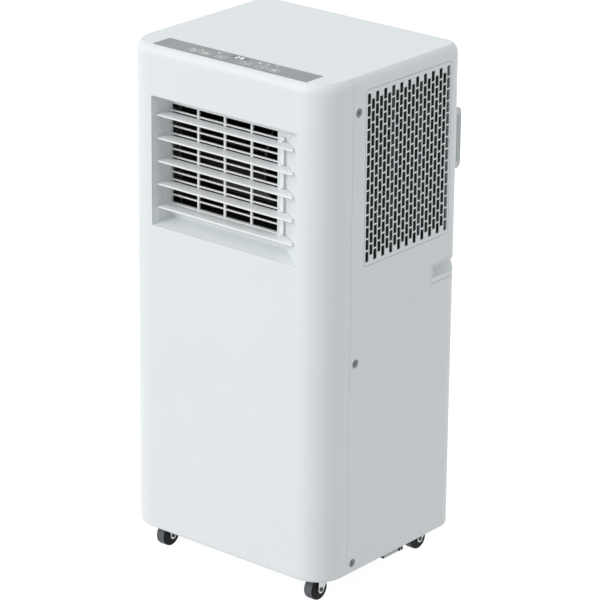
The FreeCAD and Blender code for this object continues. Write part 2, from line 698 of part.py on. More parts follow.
def make_louvre(number, height):
    """Blade with end pins; its pivot lies on the local X axis."""
    tag = "louvre_%d_" % number
    body = new_body(tag + "section")
    sketch = sketch_on(body, tag + "profile", "YZ_Plane", "-outlet_half - 5")
    half = "louvre_thick/2"
    nose = "-louvre_chord/2"
    draw_polygon(sketch, [(nose, "-0.35*" + half), (nose + " + 1.1", "-" + half), ("0", "-" + half),
                          ("louvre_chord/2", "-0.6*" + half), ("louvre_chord/2", "0.6*" + half),
                          ("0", half), (nose + " + 1.1", half), (nose, "0.35*" + half)])
    bar = pad(body, sketch, "2*outlet_half + 10")
    lengthwise = lambda b: b.XLength > 100 and (b.YMax < -5)
    round_edges(body, bar, lengthwise, "0.4")

    plan = new_body(tag + "plan")
    sketch = sketch_on(plan, tag + "outline", "XY_Plane", "-5")
    left = "-outlet_half + 1.2"
    run = "(outlet_half - throat_right)/(throat_depth - wall - 0.1)"
    wall_at = "outlet_half - (louvre_depth - wall - 0.1%s)*" + run
    front = wall_at % " - louvre_chord/2"
    draw_polygon(sketch, [(left, "-louvre_chord/2 - 1"), (front + " - 4.4", "-louvre_chord/2 - 1"),
                          (wall_at % "" + " - 1.2", "0"),
                          (wall_at % " + louvre_chord/2" + " - 3.2", "louvre_chord/2 + 1"),
                          (left + " + 5", "louvre_chord/2 + 1"), (left + " + 0.9", "2"),
                          (left, "-louvre_chord/2 + 2")])
    outline = pad(plan, sketch, "10")
    tip = lambda b: b.ZLength > 5 and b.XMax < 0 and b.YMax < -SIZES.louvre_chord / 2
    round_edges(plan, outline, tip, "2.5")

    blade = common(tag + "blade", body, plan)
    notch = span(tag + "notch", "link_x - link_width/2 - 1.5", "link_x + link_width/2 + 1.5",
                 "link_lever - 2.9", "louvre_chord", "-5", "5")
    pin = rod(tag + "link_pin", "X", "link_x - link_width/2 - 2.5", "link_lever", "0", "link_pin_radius",
              "link_width + 5")
    left_pin = rod(tag + "left_pin", "X", "-outlet_half - 2.5", "0", "0", "pivot_radius", "12")
    right_pin = rod(tag + "right_pin", "X", wall_at % "" + " - 8", "0", "0", "pivot_radius", "14")
    whole = fuse(tag + "body", cut(tag + "notched", blade, notch), pin, left_pin, right_pin)
    keep("louvre_%d" % number, place(whole, "0", "front_face + louvre_depth", height))


def make_link():
    """Upright bar that ties the blades together behind their rear edges."""
    left = "link_x - link_width/2"
    y = "front_face + louvre_depth + link_lever"
    pieces = [span("link_bar", left, left + " + link_width", y + " + 2", y + " + 4",
                   "louvre_top - 4*louvre_pitch - 6", "louvre_top + 6")]
    bores = []
    for i, height in enumerate(louvre_heights()):
        pieces.append(rod("link_eye_%d" % i, "X", left, y, height, "link_pin_radius + 1.2", "link_width"))
        pieces.append(span("link_arm_%d" % i, left, left + " + link_width", y, y + " + 2.5",
                           height + " - 1.3", height + " + 1.3"))
        bores.append(rod("link_bore_%d" % i, "X", left + " - 1", y, height, "link_pin_radius + running_gap",
                         "link_width + 2"))
    keep("louvre_link", cut("louvre_link_body", fuse("link_blank", *pieces), *bores))


# ---------------------------------------------------------------- grilles and rear fittings

def make_side_grille():
    s = SIZES
    gap = s.grille_gap
    middle_y = (s.grille_front + s.grille_back) / 2
    middle_z = (s.grille_low + s.grille_top) / 2
    half_y = (s.grille_back - s.grille_front) / 2 - gap
    half_z = (s.grille_top - s.grille_low) / 2 - gap
    outline = rounded_wire(-half_y, half_y, -half_z, half_z, s.grille_radius - gap)
    rim_inside = rounded_wire(-half_y + s.rim_width, half_y - s.rim_width, -half_z + s.rim_width,
                              half_z - s.rim_width, s.grille_radius - s.rim_width)
    plate = rimmed_plate(outline, rim_inside, brick_slots(21, 14, s.slot_pitch, 0.8))
    keep("side_grille", feature("side_grille_plate", plate,
                                Placement(Vector(s.body_width / 2 - s.wall, middle_y, middle_z), SIDE_FACING)))
    rim = 2.6
    frame = rounded_wire(-half_y + rim, half_y - rim, -half_z + rim, half_z - rim, 2)
    filter_plate = Part.Face(frame).extrude(Vector(0, 0, 2))
    keep("air_filter", feature("air_filter_pad", filter_plate,
                               Placement(Vector(s.body_width / 2 - s.wall - 2.05, middle_y, middle_z),
                                         SIDE_FACING)))


def make_rear_grille():
    s = SIZES
    gap = 0.4
    half_z = s.intake_height / 2 - gap
    outline = rounded_wire(-s.intake_half + gap, s.intake_half - gap, -half_z, half_z, 0.5)
    rim_inside = rounded_wire(-s.intake_half + gap + s.rim_width, s.intake_half - gap - s.rim_width,
                              -half_z + s.rim_width, half_z - s.rim_width, 0.5)
    plate = rimmed_plate(outline, rim_inside, brick_slots(27, 14, s.rear_pitch, 0.8))
    back = s.front_face + s.body_depth
    keep("rear_intake_grille", feature("rear_intake_plate", plate, Placement(
        Vector(0, back - s.wall, s.intake_low + s.intake_height / 2), REAR_FACING)))


def make_cleats():
    """Cord cleats: an upright ribbed plate on a stem, on each side of the back."""
    back = "front_face + body_depth"
    for side in ("right", "left"):
        body = new_body("cleat_plate_" + side)
        sketch = sketch_on(body, "cleat_profile_" + side, "YZ_Plane", "cleat_outer - cleat_width"
                           if side == "right" else "-cleat_outer")
        draw_rectangle(sketch, back + " + rear_reach - cleat_flange", back + " + rear_reach",
                       "cleat_low", "cleat_low + cleat_height")
        plate = pad(body, sketch, "cleat_width")
        document.recompute()
        rear = SIZES.front_face + SIZES.body_depth + SIZES.rear_reach
        outer_ends = lambda b, rear=rear: b.XLength > 10 and b.YMin > rear - 0.1
        round_edges(body, plate, outer_ends, "7")
        stem_x = "cleat_outer - cleat_width" if side == "right" else "-cleat_outer + cleat_width - cleat_neck"
        stem = span("cleat_stem_" + side, stem_x, "%s + cleat_neck" % stem_x, back + " + 0.05",
                    back + " + rear_reach - 1", "cleat_low + 10", "cleat_low + cleat_height - 10")
        face = "cleat_outer - 1.2" if side == "right" else "-cleat_outer - 1"
        grooves = [span("cleat_groove_%s_%d" % (side, i), face, face + " + 2.2",
                        back + " + rear_reach - cleat_flange + %s" % (1.6 + 2.9 * i),
                        back + " + rear_reach - cleat_flange + %s" % (3.0 + 2.9 * i),
                        "cleat_low + 9", "cleat_low + cleat_height - 9") for i in range(3)]
        keep("cord_cleat_" + side, cut("cord_cleat_body_" + side, fuse("cleat_blank_" + side, body, stem),
                                       *grooves))


def collar_lug(number, degrees):
    """Bayonet lug on the outside of the exhaust collar."""
    length, width, height = 14.0, 4.0, 3.5
    lug = document.addObject("Part::Box", "collar_lug_%d" % number)
    bind(lug, Length=length, Width=width, Height=height)
    radius = SIZES.exhaust_radius + SIZES.exhaust_tube
    angle = math.radians(degrees)
    spot = Vector(radius * math.cos(angle), SIZES.front_face + SIZES.body_depth + 13,
                  SIZES.exhaust_height + radius * math.sin(angle))
    turn = Rotation(Vector(0, 1, 0), 90 - degrees)
    lug.Placement = Placement(spot - turn.multVec(Vector(length / 2, 0, 1)), turn)
    return lug


def make_exhaust():
    back = "front_face + body_depth"
    tube = rod("collar_tube", "Y", "0", back + " - exhaust_root", "exhaust_height",
               "exhaust_radius + exhaust_tube", "exhaust_root + exhaust_reach")
    flange = rod("collar_flange", "Y", "0", back + " + 0.05", "exhaust_height", "exhaust_radius + 13", "3")
    lugs = [collar_lug(i, 90 + 120 * i) for i in range(3)]
    bore = rod("collar_bore", "Y", "0", back + " - 30", "exhaust_height", "exhaust_radius", "80")
    keep("exhaust_collar", cut("exhaust_collar_body", fuse("collar_blank", tube, flange, *lugs), bore))

    low_box = span("duct_low", "-70", "70", "cond_front + 8", back + " - wall - 2", "320", "372")
    high_box = span("duct_high", "-70", "70", back + " - wall - 36", back + " - wall - 2", "350", "608")
    low_core = span("duct_low_core", "-70 + sheet", "70 - sheet", "cond_front + 8 + sheet",
                    back + " - wall - 2 - sheet", "310", "372 - sheet")
    high_core = span("duct_high_core", "-70 + sheet", "70 - sheet", back + " - wall - 36 + sheet",
                     back + " - wall - 2 - sheet", "340", "608 - sheet")
    round_hole = rod("duct_hole", "Y", "0", back + " - 20", "exhaust_height", "exhaust_radius + 1.5", "40")
    keep("exhaust_duct", cut("exhaust_duct_body", fuse("duct_blank", low_box, high_box), low_core, high_core,
                             round_hole))

    bush = rod("gland_bush", "Y", "gland_x", back + " - 12", "gland_z", "gland_bore + 4", "12.5")
    rim = rod("gland_rim", "Y", "gland_x", back + " + 0.05", "gland_z", "gland_bore + 7", "3")
    hole = rod("gland_through", "Y", "gland_x", back + " - 20", "gland_z", "gland_bore", "40")
    keep("cord_gland", cut("cord_gland_body", fuse("gland_blank", bush, rim), hole))


# ---------------------------------------------------------------- casters and drain

def caster_places():
    return [("front_left", "-caster_x", "caster_front"), ("front_right", "caster_x", "caster_front"),
            ("rear_left", "-caster_x", "caster_rear"), ("rear_right", "caster_x", "caster_rear")]


def make_casters():
    for tag, x, y in caster_places():
        make_fork(tag, x, y)
        make_wheel(tag, x, y)


def make_fork(tag, x, y):
    """Swivel fork, built about its stem: the axle trails in front of it."""
    top = "floor_gap - tray_drop - 0.4"
    half = "wheel_width/2 + fork_gap + fork_thick"
    crown = rod("fork_crown_" + tag, "Z", "0", "0", top + " - 2.2", "wheel_width/2 + fork_gap + fork_thick + 0.6",
                "2.2")
    stem = rod("fork_stem_" + tag, "Z", "0", "0", top + " - 1", "stem_radius", "stem_length")
    ears = rod("fork_ears_" + tag, "X", "-(%s)" % half, "-caster_trail", "wheel_radius", "fork_ear",
               "2*(%s)" % half)
    legs = new_body("fork_legs_" + tag)
    sketch = sketch_on(legs, "fork_side_" + tag, "YZ_Plane", "-(%s)" % half)
    draw_polygon(sketch, [("-caster_trail - fork_ear", "wheel_radius"), ("-caster_trail + fork_ear",
                          "wheel_radius - 1"), ("8", top + " - 4"), ("8", top + " - 0.5"),
                          ("-caster_trail - fork_ear + 1", top + " - 0.5")])
    pad(legs, sketch, "2*(%s)" % half)
    room = span("fork_room_" + tag, "-(wheel_width/2 + fork_gap)", "wheel_width/2 + fork_gap",
                "-30", "30", "0", top + " - 2.2")
    axle_hole = rod("fork_hole_" + tag, "X", "-20", "-caster_trail", "wheel_radius", "axle_radius", "40")
    sides = cut("fork_sides_" + tag, fuse("fork_blank_" + tag, legs, ears), room, axle_hole)
    keep("caster_fork_" + tag, place(fuse("fork_" + tag, sides, crown, stem), x, y))

    pin = rod("axle_pin_" + tag, "X", "-(%s)" % half, "-caster_trail", "wheel_radius", "axle_radius",
              "2*(%s)" % half)
    heads = [rod("axle_head_a_" + tag, "X", half, "-caster_trail", "wheel_radius", "axle_radius + 0.9", "0.8"),
             rod("axle_head_b_" + tag, "X", "-(%s) - 0.8" % half, "-caster_trail", "wheel_radius",
                 "axle_radius + 0.9", "0.8")]
    keep("caster_axle_" + tag, place(fuse("axle_" + tag, pin, *heads), x, y))


def make_wheel(tag, x, y):
    """Wheel and its tread band, both turned about the axle."""
    wheel = new_body("wheel_turning_" + tag)
    sketch = sketch_on(wheel, "wheel_section_" + tag, "XY_Plane")
    rim = "wheel_radius - 0.3"
    floor = "wheel_radius - tread_depth"
    bore = "axle_radius + running_gap"
    face = "wheel_radius - 1"
    draw_polygon(sketch, [(bore, "-wheel_width/2"), (face, "-wheel_width/2"), (rim, "-wheel_width/2 + 0.7"),
                          (rim, "-tread_width/2"), (floor, "-tread_width/2"), (floor, "tread_width/2"),
                          (rim, "tread_width/2"), (rim, "wheel_width/2 - 0.7"), (face, "wheel_width/2"),
                          (bore, "wheel_width/2")])
    revolve(wheel, sketch)
    tread = new_body("tread_turning_" + tag)
    sketch = sketch_on(tread, "tread_section_" + tag, "XY_Plane")
    draw_polygon(sketch, [(floor, "-tread_width/2"), ("wheel_radius - 0.6", "-tread_width/2"),
                          ("wheel_radius", "-tread_width/2 + 0.8"), ("wheel_radius", "tread_width/2 - 0.8"),
                          ("wheel_radius - 0.6", "tread_width/2"), (floor, "tread_width/2")])
    revolve(tread, sketch)
    for body in (wheel, tread):
        body.Placement = Placement(Vector(), Rotation(Vector(0, 0, 1), -90))
        place(body, x, "%s - caster_trail" % y, "wheel_radius")
    keep("caster_wheel_" + tag, wheel)
    keep("caster_tread_" + tag, tread)


def plug_cap(top):
    """Finger block of the drain plug, as wide as the spout, with a waist round its middle."""
    half = "drain_width/2 - 0.5"
    start = "drain_back + 2.3"
    blocks = [span("plug_block_%d" % i, "drain_x - (%s) + %s" % (half, inset),
                   "drain_x + (%s) - %s" % (half, inset), "%s + %s" % (start, low), "%s + %s" % (start, high),
                   "%s - drain_height + 0.6 + %s" % (top, inset), "%s - 0.4 - %s" % (top, inset))
              for i, (low, high, inset) in enumerate([(0, 3.2, 0), (3.1, 5.3, 1), (5.2, 8.4, 0)])]
    return fuse("plug_cap", *blocks)


def make_drain():
    top = "floor_gap - tray_drop - 0.05"
    body = new_body("drain_block")
    sketch = sketch_on(body, "drain_plan", "XY_Plane", top + " - drain_height")
    draw_rectangle(sketch, "drain_x - drain_width/2", "drain_x + drain_width/2", "drain_front", "drain_back")
    block = pad(body, sketch, "drain_height")
    document.recompute()
    low = block.Shape.BoundBox.ZMin
    round_edges(body, block, level(low), "3")
    z = top + " - drain_height/2"
    mouth = rod("drain_mouth", "Y", "drain_x", "drain_back - 5", z, "drain_bore + 1.5", "7")
    bore = rod("drain_bore_hole", "Y", "drain_x", "drain_front + 6", z, "drain_bore", "60")
    well = rod("drain_riser", "Z", "drain_x", "drain_front + 12", z, "3", "20")
    keep("drain_spout", cut("drain_spout_body", fuse("drain_blank", body, mouth), bore, well))

    stem = rod("plug_stem", "Y", "drain_x", "drain_back - 8", z, "drain_bore - running_gap", "12")
    cap = plug_cap(top)
    keep("drain_plug", fuse("drain_plug_body", stem, cap))


# ---------------------------------------------------------------- blowers

def fan_wheel(label, radius, width, blade_count, placement, hub_length):
    """Drum of forward-curved blades between a back plate and a front ring, along local +Z."""
    s = SIZES
    bore = s.shaft_radius
    back = Part.makeCylinder(radius, 2.0)
    ring = Part.makeCylinder(radius, 3.0, Vector(0, 0, width - 3)).cut(
        Part.makeCylinder(radius - 11, 5.0, Vector(0, 0, width - 4)))
    hub = Part.makeCylinder(11, hub_length)
    chord = 9.0
    blade = Part.makeBox(chord, 1.1, width - 1.5, Vector(-chord / 2, -0.55, 0.5))
    blade.rotate(Vector(), Vector(0, 0, 1), 35)
    blades = []
    for i in range(blade_count):
        vane = blade.copy()
        vane.translate(Vector(radius - 5.6, 0, 0))
        vane.rotate(Vector(), Vector(0, 0, 1), 360.0 * i / blade_count)
        blades.append(vane)
    wheel = back.fuse([ring, hub] + blades)
    wheel = wheel.cut(Part.makeCylinder(bore, hub_length + 4, Vector(0, 0, -2)))
    keep(label, feature(label + "_drum", wheel, placement))


def make_upper_blower():
    s = SIZES
    outlet_y = "front_face + throat_depth + 6"
    outer = fuse("scroll_outer", rod("scroll_drum", "X", "scroll_left", "blower_y", "blower_z", "scroll_radius",
                                     "scroll_right - scroll_left"),
                 span("scroll_mouth", "scroll_left", "scroll_right", outlet_y, "blower_y", "guard_low - 4",
                      "guard_top + 4"))
    inner = fuse("scroll_inner", rod("scroll_hollow", "X", "scroll_left + sheet", "blower_y", "blower_z",
                                     "scroll_radius - sheet", "scroll_right - scroll_left - 2*sheet"),
                 span("scroll_throat", "scroll_left + sheet", "scroll_right - sheet", outlet_y + " - 5",
                      "blower_y", "guard_low - 4 + sheet", "guard_top + 4 - sheet"))
    inlet = rod("scroll_inlet", "X", "scroll_right - 5", "blower_y", "blower_z", "blower_radius - 10", "10")
    shaft_hole = rod("scroll_shaft_hole", "X", "scroll_left - 5", "blower_y", "blower_z", "20", "10")
    keep("blower_housing", cut("blower_housing_body", outer, inner, inlet, shaft_hole))
    start = s.scroll_left + 12
    along_x = Rotation(Vector(0, 1, 0), 90)
    fan_wheel("blower_wheel", s.blower_radius, s.blower_width, 40,
              Placement(Vector(start, s.blower_y, s.blower_z), along_x), 26)
    keep("blower_shaft", rod("blower_shaft_rod", "X", "scroll_left - 20", "blower_y", "blower_z",
                             "shaft_radius", "56"))
    can = rod("blower_motor_can", "X", "scroll_left - 46", "blower_y", "blower_z", "motor_radius", "44")
    bore = rod("blower_motor_bore", "X", "scroll_left - 24", "blower_y", "blower_z",
               "shaft_radius + running_gap", "40")
    keep("blower_motor", cut("blower_motor_body", can, bore))


def make_lower_blower():
    s = SIZES
    outer = fuse("cond_outer", rod("cond_drum", "Y", "cond_x", "cond_front", "cond_z", "cond_scroll",
                                   "cond_back - cond_front"),
                 span("cond_mouth", "-68", "45", "cond_front + 11", "cond_back", "cond_z", "322"))
    inner = fuse("cond_inner", rod("cond_hollow", "Y", "cond_x", "cond_front + sheet", "cond_z",
                                   "cond_scroll - sheet", "cond_back - cond_front - 2*sheet"),
                 span("cond_throat", "-68 + sheet", "45 - sheet", "cond_front + 11 + sheet",
                      "cond_back - sheet", "cond_z", "330"))
    inlet = rod("cond_inlet", "Y", "cond_x", "cond_back - 5", "cond_z", "cond_radius - 10", "10")
    shaft_hole = rod("cond_shaft_hole", "Y", "cond_x", "cond_front - 5", "cond_z", "20", "10")
    duct_clear = span("cond_lip", "-100", "100", "cond_front", "cond_back + 5", "319.5", "340")
    keep("condenser_housing", cut("condenser_housing_body", outer, inner, inlet, shaft_hole, duct_clear))
    along_y = Rotation(Vector(1, 0, 0), -90)
    fan_wheel("condenser_wheel", s.cond_radius, s.cond_width, 36,
              Placement(Vector(s.cond_x, s.cond_front + 7, s.cond_z), along_y), 24)
    keep("condenser_shaft", rod("condenser_shaft_rod", "Y", "cond_x", "cond_front - 20", "cond_z",
                                "shaft_radius", "50"))
    can = rod("condenser_motor_can", "Y", "cond_x", "cond_front - 46", "cond_z", "motor_radius", "44")
    bore = rod("condenser_motor_bore", "Y", "cond_x", "cond_front - 24", "cond_z",
               "shaft_radius + running_gap", "40")
    keep("condenser_motor", cut("condenser_motor_body", can, bore))


# ---------------------------------------------------------------- refrigeration and controls

def coil_shape(length, height, depth, rows):
    """Fin pack with end plates and hairpin bends at both ends: length on X, depth on Y."""
    plate = 1.2
    pack = Part.makeBox(length, depth, height)
    solids = [Part.makeBox(plate, depth + 2, height + 2, Vector(-plate, -1, -1)),
              Part.makeBox(plate, depth + 2, height + 2, Vector(length, -1, -1))]
    pitch = height / rows
    for end in (0, 1):
        for i in range(rows // 2):
            z = pitch * (2 * i + 1 + (0.0 if end else 0.5))
            if z + pitch / 2 > height:
                continue
            x = length + plate if end else -plate
            axis = Vector(0, 1, 0) if end else Vector(0, -1, 0)
            bend = Part.makeTorus(pitch / 2, 3.5, Vector(x, depth / 2, z), Vector(0, 1, 0), 0, 360, 360)
            side = Part.makeBox(20, depth + 10, height * 3, Vector(x if end else x - 20, -5, -height))
            solids.append(bend.common(side))
    return pack.fuse(solids)


def make_coils():
    s = SIZES
    evaporator = coil_shape(150.0, 214.0, 38.0, 10)
    keep("evaporator_coil", feature("evaporator_pack", evaporator, Placement(
        Vector(152.0, s.grille_front + 4, s.deck_z + 37), Rotation(Vector(0, 0, 1), 90))))
    condenser = coil_shape(210.0, 222.0, 26.0, 10)
    back = s.front_face + s.body_depth
    keep("condenser_coil", feature("condenser_pack", condenser, Placement(
        Vector(-105.0, back - s.wall - 8 - 26, s.intake_low - 2), Rotation())))


def pipe_shape(points, radius, bend):
    """Round tube along straight runs joined by arcs."""
    edges = []
    start = points[0]
    for i in range(1, len(points) - 1):
        into = (points[i] - points[i - 1]).normalize()
        out = (points[i + 1] - points[i]).normalize()
        reach = bend * math.tan(into.getAngle(out) / 2)
        first = points[i] - into * reach
        last = points[i] + out * reach
        middle = points[i] + (out - into).normalize() * (bend / math.cos(into.getAngle(out) / 2) - bend)
        edges.append(Part.makeLine(start, first))
        edges.append(Part.Arc(first, middle, last).toShape())
        start = last
    edges.append(Part.makeLine(start, points[-1]))
    spine = Part.Wire(edges)
    section = Part.Wire(Part.makeCircle(radius, points[0], (points[1] - points[0]).normalize()))
    return spine.makePipeShell([section], True, False)


def compressor_feet():
    reach = SIZES.compressor_radius + 6
    return [(str(SIZES.compressor_x + reach * math.cos(math.radians(a))),
             str(SIZES.compressor_y + reach * math.sin(math.radians(a)))) for a in (90, 210, 330)]


def make_compressor():
    body = new_body("compressor_shell")
    sketch = sketch_on(body, "compressor_round", "XY_Plane", "compressor_low + 3")
    draw_circle(sketch, "compressor_x", "compressor_y", "compressor_radius")
    can = pad(body, sketch, "compressor_height")
    document.recompute()
    ends = can.Shape.BoundBox
    can = round_edges(body, can, level(ends.ZMax), "28")
    round_edges(body, can, level(ends.ZMin), "10")
    feet = [rod("foot_%d" % i, "Z", x, y, "compressor_low", "8", "3") for i, (x, y) in enumerate(compressor_feet())]
    plate = rod("foot_plate", "Z", "compressor_x", "compressor_y", "compressor_low", "compressor_radius", "3.5")
    holes = [rod("foot_hole_%d" % i, "Z", x, y, "compressor_low - 1", "3.2", "5")
             for i, (x, y) in enumerate(compressor_feet())]
    cap = rod("terminal_cap", "Z", "compressor_x - 18", "compressor_y", "compressor_low + compressor_height - 20",
              "14", "30")
    keep("compressor", cut("compressor_body", fuse("compressor_blank", body, plate, cap, *feet), *holes))

    grommets = [rod("grommet_%d" % i, "Z", x, y, "compressor_low - 11.9", "7.5", "11.8")
                for i, (x, y) in enumerate(compressor_feet())]
    group = document.addObject("Part::Compound", "compressor_grommets_group")
    group.Links = grommets
    keep("compressor_grommets", group)

    tank = new_body("accumulator_shell")
    sketch = sketch_on(tank, "accumulator_round", "XY_Plane", "compressor_low + 40")
    draw_circle(sketch, "accumulator_x", "accumulator_y", "accumulator_radius")
    can = pad(tank, sketch, "120")
    document.recompute()
    ends = can.Shape.BoundBox
    can = round_edges(tank, can, level(ends.ZMax), "16")
    round_edges(tank, can, level(ends.ZMin), "16")
    keep("accumulator", tank)


def make_pipes():
    s = SIZES
    top = s.compressor_low + s.compressor_height + 3
    back = s.front_face + s.body_depth
    discharge = [Vector(s.compressor_x + 20, s.compressor_y, top + 0.1),
                 Vector(s.compressor_x + 20, s.compressor_y, top + 34),
                 Vector(90, s.compressor_y, top + 34), Vector(90, back - s.wall - 36, top + 34)]
    keep("discharge_pipe", feature("discharge_tube", pipe_shape(discharge, 3.5, 12)))
    low = s.compressor_low + 160
    suction = [Vector(s.accumulator_x, s.accumulator_y, low + 0.1), Vector(s.accumulator_x, s.accumulator_y, 330),
               Vector(s.accumulator_x + 8, -40, 330), Vector(s.accumulator_x + 8, -40, s.deck_z + 35.8)]
    keep("suction_pipe", feature("suction_tube", pipe_shape(suction, 4.5, 14)))
    capillary = [Vector(98, back - s.wall - 36, 120), Vector(98, 40, 120), Vector(140, 40, 120),
                 Vector(140, 40, s.deck_z + 35.8)]
    keep("liquid_pipe", feature("liquid_tube", pipe_shape(capillary, 1.6, 10)))


def make_deck():
    inset = "wall + 1"
    sheet_part = rounded_prism("deck_sheet", inset, "deck_z", "3")
    rim = cut("deck_rim", rounded_prism("deck_rim_out", inset, "deck_z", "7"),
              rounded_prism("deck_rim_in", "wall + 3", "deck_z - 1", "12"))
    back = "front_face + body_depth"
    slot = span("deck_duct_slot", "-71", "71", back + " - wall - 37", back + " + 5", "deck_z - 5", "deck_z + 20")
    holes = [rod("deck_hole_a", "Z", "accumulator_x + 8", "-40", "deck_z - 5", "8", "20"),
             rod("deck_hole_b", "Z", "140", "40", "deck_z - 5", "5", "20")]
    lap_room = [span("deck_lap_" + side, x0, x1, "front_face + seam_setback - 8",
                     "front_face + seam_setback + 8", "deck_z - 5", "deck_z + 20")
                for side, x0, x1 in (("right", "body_width/2 - 7", "body_width"),
                                     ("left", "-body_width", "-body_width/2 + 7"))]
    grip_room = [span("deck_grip_" + side, x0, x1, "grip_front - 2", "2*body_depth", "deck_z - 5", "deck_z + 20")
                 for side, x0, x1 in (("right", "body_width/2 - grip_depth - 2", "body_width"),
                                      ("left", "-body_width", "-body_width/2 + grip_depth + 2"))]
    deck = fuse("deck_blank", sheet_part, rim)
    keep("mid_deck", cut("mid_deck_body", deck, slot, *(holes + lap_room + grip_room)))


def make_control_box():
    outer = span("control_outer", "-143", "-56", "front_face + 12", "front_face + 60", "300", "380")
    inner = span("control_inner", "-141", "-58", "front_face + 14", "front_face + 58", "302", "390")
    lid = span("control_lid", "-143", "-56", "front_face + 12", "front_face + 60", "379", "381")
    keep("control_box", fuse("control_box_body", cut("control_tub", outer, inner), lid))


# ---------------------------------------------------------------- build, check, write

def build():
    make_sheet()
    make_casing()
    make_outlet()
    make_side_grille()
    make_rear_grille()
    make_cleats()
    make_exhaust()
    make_casters()
    make_drain()
    make_upper_blower()
    make_lower_blower()
    make_coils()
    make_compressor()
    make_pipes()
    make_deck()
    make_control_box()
    document.recompute()


def check():
    """Refuse to write anything if an object failed or a sub-part isn't a sound solid."""
    faults = [item.Name for item in document.Objects if "Invalid" in item.State or "Error" in item.State]
    for label, item in parts.items():
        shape = item.Shape
        if shape.isNull() or not shape.isValid() or not shape.Solids:
            faults.append(label)
    if faults:
        raise RuntimeError("unsound: " + ", ".join(faults))


def write():
    os.makedirs("parts", exist_ok=True)
    for label, item in parts.items():
        item.Shape.exportStep("parts/%s.step" % label)
        print("%-26s solids %2d  volume %9.1f cm3" % (label, len(item.Shape.Solids), item.Shape.Volume / 1000))
    print(len(parts), "parts")


build()
check()
write()
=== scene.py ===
"""Looks of a portable air conditioner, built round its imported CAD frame. Everything is in metres."""
import json
import math

import bpy
from mathutils import Matrix, Vector


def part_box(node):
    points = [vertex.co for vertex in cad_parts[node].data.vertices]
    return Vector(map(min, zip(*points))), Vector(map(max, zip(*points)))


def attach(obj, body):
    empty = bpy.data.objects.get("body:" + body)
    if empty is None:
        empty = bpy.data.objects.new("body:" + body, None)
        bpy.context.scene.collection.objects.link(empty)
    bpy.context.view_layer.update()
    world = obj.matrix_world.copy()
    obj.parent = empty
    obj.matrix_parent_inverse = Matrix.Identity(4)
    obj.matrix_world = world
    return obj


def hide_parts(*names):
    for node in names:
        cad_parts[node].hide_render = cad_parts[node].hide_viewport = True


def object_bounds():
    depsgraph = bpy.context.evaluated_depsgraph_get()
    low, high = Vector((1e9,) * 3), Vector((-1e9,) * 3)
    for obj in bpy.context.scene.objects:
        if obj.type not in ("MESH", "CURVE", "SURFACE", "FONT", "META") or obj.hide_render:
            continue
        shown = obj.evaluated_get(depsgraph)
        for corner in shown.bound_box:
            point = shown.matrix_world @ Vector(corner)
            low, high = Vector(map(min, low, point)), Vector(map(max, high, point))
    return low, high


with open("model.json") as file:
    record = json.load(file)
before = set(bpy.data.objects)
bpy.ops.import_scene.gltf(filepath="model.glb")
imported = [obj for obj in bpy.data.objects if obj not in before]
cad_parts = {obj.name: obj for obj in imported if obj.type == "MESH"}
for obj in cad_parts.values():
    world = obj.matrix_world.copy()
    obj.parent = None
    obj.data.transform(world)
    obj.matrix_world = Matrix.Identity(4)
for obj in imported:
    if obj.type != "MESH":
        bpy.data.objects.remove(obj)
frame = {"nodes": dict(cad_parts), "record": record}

MM = 0.001
cad_low, cad_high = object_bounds()


# ---------------------------------------------------------------- colours

def srgb(red, green, blue):
    """Linear colour of an 8-bit sRGB colour."""
    def linear(value):
        value /= 255
        return value / 12.92 if value <= 0.04045 else ((value + 0.055) / 1.055) ** 2.4
    return (linear(red), linear(green), linear(blue), 1.0)


def scaled(colour, factor):
    return tuple(min(1.0, value * factor) for value in colour[:3]) + (1.0,)


WHITE = srgb(234, 238, 239)
# painted light: the louvre parts' white is lifted above the shell's WHITE, standing in for light inside the
# outlet
LIT_BLADE_WHITE = srgb(247, 248, 248)
STRIP_GREY = srgb(147, 150, 153)
CLEAT_GREY = srgb(214, 218, 219)
SPOUT_GREY = srgb(188, 192, 194)
TRAY_GREY = srgb(62, 64, 66)
BLACK_PLASTIC = srgb(7, 7, 8)
NET_BLACK = srgb(7, 8, 9)
RIB_GREY = srgb(72, 76, 78)
RUBBER_BLACK = srgb(34, 34, 36)
TREAD_GREY = srgb(102, 106, 110)
WHEEL_BLACK = srgb(9, 10, 11)
ZINC = srgb(200, 204, 206)
SCREW_ZINC = srgb(118, 121, 123)
STEEL = srgb(170, 171, 173)
ALUMINIUM = srgb(205, 207, 210)
COPPER = srgb(201, 122, 88)
PAINT_BLACK = srgb(15, 15, 17)
PRINT_WHITE = srgb(236, 238, 240)
LED_WHITE = srgb(226, 230, 226)
LED_GREEN = srgb(196, 206, 150)
WINDOW_BLACK = srgb(18, 20, 24)
FLOOR_WHITE = (0.30, 0.30, 0.30, 1.0)


# ---------------------------------------------------------------- material building

# noise values between which a cloudy layer fades in
CLOUD_LOW, CLOUD_HIGH = 0.3, 0.7
LEAST_ROUGHNESS = 0.02
BEVEL_SAMPLES = 4
# cosines of the angle between an edge's rounded normal and the plain one: where wear starts and is full
EDGE_STARTS, EDGE_FULL = 0.98, 0.72


